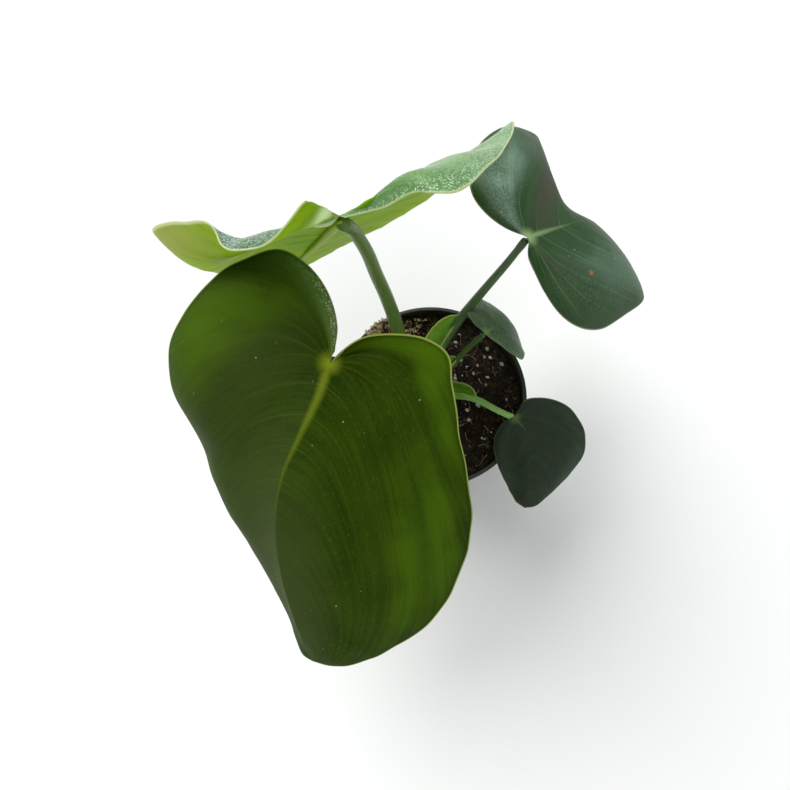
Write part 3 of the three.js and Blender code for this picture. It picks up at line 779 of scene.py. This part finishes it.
def blade_skin(
    name, deep, mid, streak, rib, rim, glow=None, dusk=None, sheen=None, painted_glints=None, pebble=1.3, relief=0.1,
    dull=0.45, gloss=0.1, thin=0.15, strands=230, streaks=0.3, grain=0.3, vein=0.08, ribbed=1.3, run=55,
    heart=7, horn=0.75, line=0.3, specks=0, scar=None,
):
    """The skin of a living blade: veins, striations, pebbles, a pale midrib and a horny margin.

    Pebble is their width and relief their height, run is how far the midrib stays broad, heart the pale spot
    at the junction and horn the margin's width, all in mm. The stroke colours paint light and shade into the
    skin: a glow where light shines through, shading, a sheen and pale dots of glints. A colour without
    strokes on the leaf is left out.
    """
    material, tree, shader, place = fresh_material(name, flesh(thin, gloss))
    mark = {
        key: add(tree, "Attribute", attribute_name=key, gives="Fac")
        for key in ("rib_mm", "edge_mm", "vein_mm", "junction_mm", "glow", "dusk", "painted_glints", "sheen")
    }
    veins = add(tree, "UVMap")
    fine = add(tree, "VectorMath", {0: veins, 1: (7.0, strands, 1.0)}, operation="MULTIPLY")
    broad = add(tree, "VectorMath", {0: veins, 1: (2.5, strands / 7, 1.0)}, operation="MULTIPLY")
    strand = add(tree, "TexNoise", {"Vector": fine, "Scale": 1.0, "Detail": 2.0})
    band = add(tree, "TexNoise", {"Vector": broad, "Scale": 1.0, "Detail": 2.0})
    cloud = add(tree, "TexNoise", {"Vector": place, "Scale": 1000 / 22, "Detail": 3.0})
    netted = {"Vector": place, "Scale": 1000 / pebble, "Smoothness": 0.55}
    cells = add(tree, "TexVoronoi", netted, feature="SMOOTH_F1")

    patchy = add(tree, "Math", {0: cloud, 1: band}, operation="ADD")
    patchy = add(tree, "MapRange", {0: patchy, 1: 0.8, 2: 1.2})
    amount = add(tree, "MapRange", {0: strand, 1: 0.42, 2: 0.72, 4: streaks})
    lift = add(tree, "MapRange", {0: cells, 1: 0.55, 2: 0.15, 4: 0.18})
    lateral = add(tree, "MapRange", {0: mark["vein_mm"], 1: 0.6, 2: 0.1, 4: vein})
    fade = add(tree, "MapRange", {0: mark["edge_mm"], 1: 2.0, 2: 16.0})
    lateral = add(tree, "Math", {0: lateral, 1: fade}, operation="MULTIPLY")
    # Painted glow: light shining through the blade or catching it, laid in streaky bands where the strokes
    # lie.
    lit = add(tree, "Mix", {0: grain, 2: band, 3: strand}, data_type="FLOAT")
    lit = add(tree, "Math", {0: lit, 1: cloud}, operation="ADD")
    lit = add(tree, "MapRange", {0: lit, 1: 0.86, 2: 1.1, 3: 0.75 - grain / 2, 4: 1.0})
    lit = add(tree, "Math", {0: lit, 1: mark["glow"]}, operation="MULTIPLY")
    inside = add(tree, "MapRange", {0: mark["edge_mm"], 1: horn * 4, 2: horn * 1.3, 4: line})

    half = add(tree, "MapRange", {0: mark["junction_mm"], 1: 0.0, 2: run, 3: ribbed, 4: 0.3})
    ratio = add(tree, "Math", {0: mark["rib_mm"], 1: half}, operation="DIVIDE")
    midrib = add(tree, "MapRange", {0: ratio, 1: 2.8, 2: 0.0}, interpolation_type="SMOOTHSTEP")
    fade = add(tree, "MapRange", {0: mark["junction_mm"], 1: run * 1.4, 2: 3.0, 4: 0.7})
    fade = add(tree, "Math", {0: fade, 1: 1.5}, operation="POWER")
    midrib = add(tree, "Math", {0: midrib, 1: fade}, operation="MULTIPLY")
    joint = {0: mark["junction_mm"], 1: heart, 2: 0.0, 4: 0.8}
    joint = add(tree, "MapRange", joint, interpolation_type="SMOOTHSTEP")
    midrib = add(tree, "Math", {0: midrib, 1: joint}, operation="MAXIMUM")
    horned = add(tree, "MapRange", {0: mark["edge_mm"], 1: horn, 2: horn * 0.4, 4: 0.85})

    colour = add(tree, "Mix", {0: patchy, 6: paint(deep), 7: paint(mid)}, data_type="RGBA", gives=2)
    # Painted sheen, painted glow and painted shading are laid over the streaks and veins where their strokes
    # lie.
    layers = [
        (amount, streak), (lift, streak), (lateral, rib),
        (mark["sheen"], sheen), (lit, glow), (mark["dusk"], dusk),
    ]
    layers = [(share, tone) for share, tone in layers if tone]
    # Painted glints: pale dots on the pebbles, where the strokes say that light catches them.
    if painted_glints:
        beads = add(tree, "TexVoronoi", {"Vector": place, "Scale": 1000 / pebble})
        bead = add(tree, "MapRange", {0: beads, 1: 0.6, 2: 0.25})
        picked = add(tree, "SeparateColor", {0: beads.node.outputs["Color"]})
        picked = add(tree, "MapRange", {0: picked, 1: 0.1, 2: 0.8})
        bead = add(tree, "Math", {0: bead, 1: picked}, operation="MULTIPLY")
        layers.append((add(tree, "Math", {0: bead, 1: mark["painted_glints"]}, operation="MULTIPLY"), painted_glints))
    layers += [(midrib, rib), (inside, deep), (horned, rim)]
    if specks:
        spots = add(tree, "TexVoronoi", {"Vector": place, "Scale": 1000 / specks})
        small = add(tree, "MapRange", {0: spots, 1: 0.4 / specks, 2: 0.2 / specks})
        few = add(tree, "SeparateColor", {0: spots.node.outputs["Color"]})
        few = add(tree, "MapRange", {0: few, 1: 0.35, 2: 0.75, 4: 0.9})
        layers.append((add(tree, "Math", {0: small, 1: few}, operation="MULTIPLY"), "#b9bfa6"))
    if scar is not None:
        bite = {0: place, 1: tuple(scar / 1000)}
        reach = add(tree, "VectorMath", bite, operation="DISTANCE", gives="Value")
        for size, tone in ((0.0026, "#5d6048"), (0.0017, "#b5733f")):
            healed = add(tree, "MapRange", {0: reach, 1: size, 2: size * 0.5, 4: 0.9})
            layers.append((healed, tone))
    for share, tone in layers:
        colour = add(tree, "Mix", {0: share, 6: colour, 7: paint(tone)}, data_type="RGBA", gives=2)
    wax = add(tree, "MapRange", {0: cloud, 1: 0.3, 2: 0.7, 3: dull - 0.06, 4: dull + 0.08})
    height = add(tree, "Math", {0: cells, 1: -1.0, 2: 1.0}, operation="MULTIPLY_ADD")
    height = add(tree, "Math", {0: strand, 1: 0.5, 2: height}, operation="MULTIPLY_ADD")
    bump = add(tree, "Bump", {"Height": height, "Strength": 1.0, "Distance": relief / 1000})
    feed(shader, {"Base Color": colour, "Roughness": wax, "Normal": bump})
    return material


def stalk_skin(name, base, streak, low, gloss=0.35):
    """Stalk skin: smooth and waxy, streaked along its length with fine pale fibres."""
    material, tree, shader, place = fresh_material(name, {"Roughness": 0.36, **flesh(0.2, gloss)})
    fibre = add(tree, "Attribute", attribute_name="fibre", gives="Vector")
    scaled = add(tree, "VectorMath", {0: fibre, 1: (4.0, 4.0, 0.06)}, operation="MULTIPLY")
    lines = add(tree, "TexNoise", {"Vector": scaled, "Scale": 1.6, "Detail": 4.0, "Roughness": 0.6})
    amount = add(tree, "MapRange", {0: lines, 1: 0.38, 2: 0.68})
    colour = add(tree, "Mix", {0: amount, 6: paint(base), 7: paint(streak)}, data_type="RGBA", gives=2)
    height = add(tree, "SeparateXYZ", {0: place}, gives="Z")
    foot = add(tree, "MapRange", {0: height, 1: 0.135, 2: 0.105, 4: 0.7})
    colour = add(tree, "Mix", {0: foot, 6: colour, 7: paint(low)}, data_type="RGBA", gives=2)
    bump = add(tree, "Bump", {"Height": lines, "Strength": 0.6, "Distance": 0.0002})
    feed(shader, {"Base Color": colour, "Normal": bump})
    return material


def sheath_skin(name, base, vein, edge):
    """Sheath skin: thin and translucent, finely lined, drying to a papery pale edge."""
    material, tree, shader, place = fresh_material(name, {"Roughness": 0.4, **flesh(0.4, 0.3)})
    cloud = add(tree, "TexNoise", {"Vector": place, "Scale": 1000 / 5, "Detail": 4.0})
    colour = add(tree, "Mix", {0: cloud, 6: paint(base), 7: paint(vein)}, data_type="RGBA", gives=2)
    near = add(tree, "Attribute", attribute_name="edge_mm", gives="Fac")
    papery = add(tree, "MapRange", {0: near, 1: 0.9, 2: 0.25, 4: 0.85})
    colour = add(tree, "Mix", {0: papery, 6: colour, 7: paint(edge)}, data_type="RGBA", gives=2)
    bump = add(tree, "Bump", {"Height": cloud, "Strength": 0.4, "Distance": 0.0003})
    feed(shader, {"Base Color": colour, "Normal": bump})
    return material


def grow(where, leaf, upper, under, keel_skin, skin, papery):
    """Builds a leaf's blade, keel, stalk and sheath, which together stand for its solid."""
    pieces = [
        blade("blade_" + where, leaf, upper, under),
        keel("keel_" + where, leaf, keel_skin),
        stalk("stalk_" + where, leaf, skin),
        sheath("sheath_" + where, leaf, papery),
    ]
    node = "leaf_" + where
    for made in pieces:
        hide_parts(node)
        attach(made, "root")


# The front leaf: the broad dark olive one that faces the camera. Light passing through it is painted in as
# yellow-green bands, and the lobe beside the sinus curls up bluish and pebbled, with painted shading and
# glints along the curl. A grey-green sheen is painted over much of its left half. Its lower left edge turns
# back.

front = {
    "at": (-50, -28, 229), "turn": (-95, 28, 0), "veins": 15, "columns": 36, "quilt": 0.12, "quilt_mm": 9,
    "waves": 17, "wave_mm": 1.1,
    "swell": {"left": 1, "right": 2.5}, "sweep": {"left": (3.8, 0, 2.5), "right": (2.3, 1.2, 2)},
    "rib": [
        (0, 0, 0), (13, -3, 5), (29, -9, 8), (46, -15, 9), (65, -17, 8), (88, -15, 5), (114, -9, 0),
        (141, -2, -10),
    ],
    "left": [
        (-2.5, 3, -1, 0), (-7, 6.5, 2, -1), (-12, 14, 5, -3), (-14, 25, 6, -3), (-13, 37, 4, 0),
        (-7.5, 46, 0, 3), (5, 50, -3, 4), (24, 54, -5, 5), (45, 60, -7, 6), (62, 64, -9, 7),
        (83, 64, -11, 7), (110, 54.5, -11, 6), (128, 38, -10, 4), (138, 21, -9, 2), (142, 8, -9, 1),
        (141, -2, -10, 0),
    ],
    "right": [
        (-4.5, 1, -4, 3), (-15, 1, -7, 5), (-28, -4, -9, 6), (-38, -13, -10, 6), (-43, -24, -9, 6),
        (-37, -40, -9, 6), (-22, -58, -9, 6), (-1, -69, -10, 7), (22, -69, -15, 7), (41, -61.5, -22, 7),
        (69, -53, -28, 8), (96, -35.5, -29, 6), (118, -19.5, -25, 5), (132, -12, -17, 2), (139, -7, -12, 1),
        (141, -2, -10, 0),
    ],
    "stalk": [(-7, 1, 108), (-20, -5, 130), (-34, -12, 165), (-44, -19, 200)],
    "radius": (4.4, 2.8), "sheath": (0.26, 6, 5, -3),
    # Painted light and shade: glow where light shines through, shading and glints along the curled lobe, and
    # the grey-green sheen.
    "glow": {
        "left": [
            (0.055, 0.78, 0.035, 0.35, 0.85), (0.1, 0.83, 0.04, 0.13, 0.7), (0.22, 0.82, 0.06, 0.18, 0.55),
            (0.34, 0.72, 0.06, 0.2, 0.6),
        ],
        "right": [(0.2, 0.75, 0.12, 0.3, 0.5)],
    },
    "dusk": {"right": [(0.03, 0.8, 0.05, 0.7, 1)]},
    "painted_glints": {"right": [(0, 0.95, 0.05, 0.3, 1)]},
    "sheen": {
        "left": [(0.85, 0, 0.25, 0.4, 0.8)],
        "right": [(0.35, 0.6, 0.25, 0.5, 0.5), (0.78, 0.4, 0.35, 0.8, 0.85)],
    },
}
# Mature leaf skin: thick and leathery, deep olive, almost matt. The glow where the sun shines through from
# behind, the sheen and the glints are painted into its colour.
front_upper = blade_skin(
    "olive_leaf_skin", "#1e3300", "#2c4103", "#4a5e10", rib="#8f9e24", rim="#a3ad58", glow="#4e6f06",
    dusk="#55702f", sheen="#3d4a22", painted_glints="#cad2bd", pebble=1.0, dull=0.5, gloss=0.04, specks=7, line=0.45,
)
front_under = blade_skin(
    "olive_leaf_underside", "#667a38", "#788b44", "#8f9f5c", rib="#a9b46c", rim="#c9c793",
    relief=0.08, dull=0.5, thin=0.25,
)
green_stalk = stalk_skin("olive_stalk_skin", "#4b6327", "#6d8343", "#5d7a2c")
olive_keel = stalk_skin("olive_keel_skin", "#7d8f49", "#95a55f", "#7d8f49")
green_sheath = sheath_skin("olive_sheath_skin", "#4f6f1e", "#6b8a34", "#a3a878")
grow("front", front, front_upper, front_under, olive_keel, green_stalk, green_sheath)

# The back leaf: the newest and broadest, pale and soft, seen on edge from the sinus. Its lobes curl, its
# upper face is glossy and pebbled, with painted glints, painted highlights and painted shade in the valley,
# and its underside is a smooth yellow-green that light shines through, with painted light and shade on it
# too.

back = {
    "at": (-45, 22, 255), "turn": (106, 60, 0), "veins": 15, "columns": 40, "quilt": 0.25, "quilt_mm": 6,
    "waves": 15, "wave_mm": 0.9,
    "swell": {"left": 3, "right": 3}, "sweep": {"left": (1, 0.5, 2), "right": (1, 0.5, 2)},
    "rib": [(0, 0, 0), (38, 9, -3), (75, 19, -6.5), (105, 24, -10), (128, 22, -10)],
    "left": [
        (-3, 2, -1.5, 0), (-9, 5.5, -3.5, 4), (-16, 11, -3, 4), (-21.5, 11, 0.3, 2), (-24, 11, 4, 0),
        (-34, 20, -3, -1), (-40, 28, -8, 1), (-38, 36, -7.5, 2), (-30, 41, -3.5, 0), (-18, 45, 5, -7),
        (0, 58, 11, -12), (22, 73, 14, -14), (45, 75, 12, -13), (75, 68, 2, -7), (105, 55, -12, -3),
        (128, 22, -10, 0),
    ],
    "right": [
        (-4, -1.5, -1.5, 0), (-14, -11, -2.5, 2), (-20, -15, -3, 3), (-32, -23, -2, 3), (-38, -29, -4.5, 7),
        (-37, -35, -5.5, 9), (-28, -46, -2, 7.5), (-14, -58, 4.5, 6), (5, -73, 13, 1), (24, -83, 23, -2),
        (50, -80, 21, -4), (80, -61, 12, -4), (98, -40, 5.5, -3), (115, -10, -1.5, -1), (128, 22, -10, 0),
    ],
    "stalk": [
        (-6, 8, 107), (-14, 20, 112), (-20, 27, 120), (-22, 29, 134), (-25, 29, 156), (-29, 29, 180),
        (-33, 28, 202), (-36.5, 27.5, 222), (-41, 25.5, 240),
    ],
    "radius": (4.7, 2.6), "sheath": (0.16, 7, 5, -3),
    # Painted light and shade. Above: glints on the strips, shade in the valley, highlights on the bump and
    # near the margin. Beneath: a deeper green where light shines through and in the shaded hollow, a pale
    # sheen at the tip, a highlight on the bump.
    "painted_glints": {
        "left": [(0.2, 0.92, 0.1, 0.3, 1)],
        "right": [(0.09, 0.99, 0.12, 0.08, 1), (0.16, 0.95, 0.12, 0.12, 0.5), (0.27, 0.99, 0.16, 0.09, 0.8)],
    },
    "dusk": {"left": [(0.19, 0.95, 0.12, 0.35, 0.9)]},
    "glow": {"left": [(0.1, 0.35, 0.05, 0.25, 1)], "right": [(0.2, 0.75, 0.12, 0.15, 0.6)]},
    "glow_under": {
        "left": [(0.57, 0.05, 0.12, 0.22, 0.6), (0.105, 0.7, 0.03, 0.15, 0.8)],
        "right": [(0.5, 0.2, 0.2, 0.3, 0.25), (0.1, 0.45, 0.05, 0.3, 1)],
    },
    "dusk_under": {"left": [(0.1, 0.4, 0.05, 0.2, 1)]},
    "sheen_under": {"left": [(0.34, 1, 0.1, 0.15, 0.9), (0.11, 0.75, 0.02, 0.12, 0.3)]},
}
# Young leaf skin: soft and glossy, puckered into small pebbles; their glints in the window's light are
# painted on as pale dots.
back_upper = blade_skin(
    "new_leaf_skin", "#5b8a45", "#709b59", "#7da66a", rib="#a9c07c", rim="#c6d3a0", glow="#8db17c",
    dusk="#2c5a3d", painted_glints="#d8efd6", pebble=0.75, relief=0.22, dull=0.3, gloss=0.4, thin=0.4, grain=0.1,
    horn=0.45, line=0.05,
)
# The underside: a deeper green painted where light shines through and into the shaded hollow, a pale painted
# sheen at the tip and a painted highlight on the bump.
back_under = blade_skin(
    "new_leaf_underside", "#7aa104", "#93b612", "#a8c134", rib="#a9bb5c", rim="#d3dca0", glow="#5f9410",
    dusk="#dcf8b4", sheen="#a3ab55", pebble=1.5, relief=0.05, dull=0.4, gloss=0.02, thin=0.5, vein=0.05,
    horn=0.6, line=0.05, run=40,
)
# Young stalk skin: firm and waxy, the same green as the rest of the new growth.
new_stalk = stalk_skin("new_stalk_skin", "#4c6625", "#65803e", "#547323")
new_keel = stalk_skin("new_keel_skin", "#86a61e", "#9ab437", "#86a61e", gloss=0.05)
new_sheath = sheath_skin("new_sheath_skin", "#587a22", "#76993c", "#b0b583")
grow("back", back, back_upper, back_under, new_keel, new_stalk, new_sheath)

# The right leaf: bluish, with a cloudy grey-blue sheen and glints painted on it, folded down along its midrib
# so that it turns away from the camera, with a brownish shade painted where it turns away. One old bite has
# healed to a small brown scar.

right = {
    "at": (44, 55, 192), "turn": (28, 18, 13), "veins": 13, "columns": 34, "quilt": 0.12, "quilt_mm": 8,
    "waves": 13, "wave_mm": 0.5,
    "swell": {"left": 2, "right": 1}, "sweep": {"left": (1.5, 0.5, 2), "right": (1.5, 0.5, 2)},
    "rib": [(0, 0, 0), (20, 0, 2), (42, 0, 1), (72, 0, -18), (99, 0, -48), (117, 0, -76)],
    "left": [
        (0, 1, -0.5, 0), (-8, 9, -3, 2), (-14, 20, -5, 3), (-16, 32, -6, 4), (-8, 48, -7, 5),
        (6, 60, -7, 6), (23, 66, -7, 6), (39, 64, -8, 4), (49, 58, -10, 0), (48, 51, -14, -6),
        (44, 46, -18, -9), (52, 40, -30, -11), (70, 33, -48, -12), (97, 17, -65, -4), (117, 0, -76, 0),
    ],
    "right": [
        (-0.5, -3, -0.5, 0), (-3, -9, -2, 2), (-0.5, -18, -5, 3), (2, -29, -7, 4), (8, -43, -9, 5),
        (18, -53, -10, 6), (33, -57, -11, 6), (55, -55, -12, 6), (77, -50, -14, 5), (91, -36, -27, 3),
        (104, -20, -49, 2), (115, -8, -67, 1), (117, 0, -76, 0),
    ],
    "stalk": [(-1, 9, 104), (2.5, 20.5, 110), (7, 29, 117), (15, 37.5, 131), (27, 46.5, 151), (37, 52, 172)],
    "radius": (3.5, 1.9), "sheath": (0.42, 6, 3, -6),
    # Painted light and shade: a cloudy bluish sheen with glints, and shade where the fold turns away.
    "glow": {
        "left": [(0.14, 0.4, 0.11, 0.38, 1), (0.22, 0.55, 0.08, 0.25, 0.8)],
        "right": [(0.45, 0.6, 0.14, 0.4, 0.4)],
    },
    "painted_glints": {"left": [(0.14, 0.45, 0.12, 0.4, 0.45)], "right": [(0.3, 0.6, 0.2, 0.3, 0.1)]},
    "dusk": {"left": [(0.41, 0.45, 0.05, 0.45, 0.8)], "right": [(0.24, 0.32, 0.06, 0.15, 0.5)]},
}
# Waxed leaf skin: dark green with a satin sheen; a cloudy bluish sheen with glints, and a brownish shade
# along the fold, are painted on.
right_upper = blade_skin(
    "bluish_leaf_skin_painted_sheen", "#2c4728", "#385330", "#4a6443", rib="#b0cd8e", rim="#8e9472", glow="#7f9b88",
    dusk="#4b4a3c", painted_glints="#a9bcad", pebble=0.9, relief=0.12, dull=0.44, gloss=0.2, grain=0.6, specks=10,
    vein=0.12, ribbed=1.2, run=28, heart=7, scar=in_place(right, (29, -28, 1)),
)
right_under = blade_skin(
    "bloomed_leaf_underside", "#647a4d", "#748a5a", "#88a074", rib="#a4b67c", rim="#b9b98f",
    pebble=1.2, relief=0.08, dull=0.5, thin=0.25,
)
grey_stalk = stalk_skin("bloomed_stalk_skin", "#3f5830", "#58704a", "#466a22")
grey_keel = stalk_skin("bloomed_keel_skin", "#788d5c", "#8da070", "#788d5c")
bright_sheath = sheath_skin("bright_sheath_skin", "#66951c", "#80b036", "#a9b468")
grow("right", right, right_upper, right_under, grey_keel, grey_stalk, bright_sheath)

# The small front leaf: an early one, slate dark with a brownish margin, held low over the rim. Its blade is
# thin and nearly flat, on a short bright green stalk.

small_front = {
    "at": (44, -25, 135), "turn": (-80, 26, 0), "veins": 9, "columns": 24, "quilt": 0.1, "quilt_mm": 6,
    "waves": 12, "wave_mm": 0.5,
    "swell": {"left": 1, "right": 1}, "sweep": {"left": (1.5, 0.5, 2), "right": (1.5, 0.5, 2)},
    "rib": [(0, 0, 0), (9, 5.5, 1), (20, 7.5, 1), (35, 6, 0), (56, 0.5, -4)],
    "left": [
        (-3.5, 2.5, 0, 0), (-9, 7.5, 1, 0), (-9, 15, 1, 1), (-6.5, 23, 0, 1), (-1.5, 31, -1, 1),
        (6, 37, -2, 1), (18, 41, -3, 1), (30, 39, -4, 2), (41, 30, -5, 2), (51, 17, -5, 1),
        (56, 7.5, -4, 0), (56, 0.5, -4, 0),
    ],
    "right": [
        (0, -1.5, -0.5, 0), (3.5, -6, -4, 1), (11, -10, -9, 3), (20, -11, -12, 4), (30, -10, -13, 4),
        (43, -6.5, -11, 3), (52, -3.5, -5, 1), (56, 0.5, -4, 0),
    ],
    "stalk": [(2, 2, 102), (14, -4, 110), (20, -7, 117), (27, -12, 124), (35, -19, 130)],
    "radius": (2.5, 1.6), "sheath": (0.55, 4.2, 3.5, -3.5),
    # Painted light: a paler glow along one margin.
    "glow": {"left": [(0.5, 0.95, 0.35, 0.2, 0.6)]},
}
# Early leaf skin: thin and slate dark, with little gloss; the small back leaf's underside is the same.
slate_upper = blade_skin(
    "slate_leaf_skin", "#212b1e", "#293526", "#364433", rib="#5d7440", rim="#5f6547", glow="#3c4e3e",
    pebble=1.1, relief=0.09, dull=0.46, gloss=0.15, thin=0.1, strands=120, streaks=0.2, vein=0.02,
    ribbed=0.8, run=9, heart=5, horn=0.6,
)
slate_under = blade_skin(
    "slate_leaf_underside", "#5b6d4a", "#687b55", "#788b66", rib="#93a56f", rim="#8f8768",
    pebble=1.1, relief=0.06, dull=0.5, thin=0.2, strands=120,
)
bright_stalk = stalk_skin("young_stalk_skin", "#86b360", "#9cc47a", "#77a848")
slate_keel = stalk_skin("slate_keel_skin", "#6b7e55", "#7d9066", "#6b7e55")
small_sheath = sheath_skin("small_sheath_skin", "#558a14", "#6b9f2a", "#9fae68")
grow("small_front", small_front, slate_upper, slate_under, slate_keel, bright_stalk, small_sheath)

# The small back leaf: the other early leaf, half turned away over the back rim, with a painted bluish sheen.
# Its blade bends down towards the tip, on a short shaded stalk.

small_back = {
    "at": (28, 23, 145), "turn": (40, 32, 0), "veins": 9, "columns": 22, "quilt": 0.1, "quilt_mm": 6,
    "waves": 11, "wave_mm": 0.7,
    "swell": {"left": 1, "right": 1}, "sweep": {"left": (1.5, 0.5, 2), "right": (1.5, 0.5, 2)},
    "rib": [(0, 0, 0), (12, 0, 1), (26, 0, 0), (40, 0, -9), (51, 0, -22)],
    "left": [
        (0, 0.5, 0, 0), (0.5, 9, -1, 1), (5.5, 17, -2, 1), (14, 22, -2, 2), (25, 22, -2, 2),
        (36, 16, -8, 2), (45, 7, -17, 1), (51, 0, -22, 0),
    ],
    "right": [
        (0, -2.5, 0, 0), (6, -11, -2, 1), (11, -18, -4, 1), (16, -23, -6, 1), (24, -22, -7, 2),
        (34, -16, -12, 2), (44, -8, -18, 1), (51, 0, -22, 0),
    ],
    "stalk": [(2, 8, 101), (11, 15, 108), (17, 20, 116), (23, 23, 128)],
    "radius": (2.3, 1.4), "sheath": (0.42, 4, 2.5, -3),
    # Painted light: a paler glow along one margin, and bluish glints in patches.
    "glow": {"right": [(0.25, 0.95, 0.3, 0.2, 0.8)]},
    "painted_glints": {"left": [(0.35, 0.5, 0.3, 0.5, 0.2)], "right": [(0.45, 0.4, 0.3, 0.4, 0.2)]},
}
# Early leaf skin: slate green, mottled with bluish glints painted on in patches, and a paler glow painted
# along one margin.
blue_upper = blade_skin(
    "blue_slate_leaf_skin", "#4c6148", "#5d7259", "#6c836a", rib="#88a86e", rim="#7b8466", glow="#66885a",
    painted_glints="#8aa097", pebble=1.1, relief=0.09, dull=0.42, gloss=0.2, thin=0.1,
    strands=110, vein=0.02, ribbed=0.8, run=10, heart=5, horn=0.6,
)
shaded_stalk = stalk_skin("shaded_stalk_skin", "#3f5826", "#55703a", "#4a6a24")
grow("small_back", small_back, blue_upper, slate_under, slate_keel, shaded_stalk, small_sheath)

bpy.context.view_layer.update()
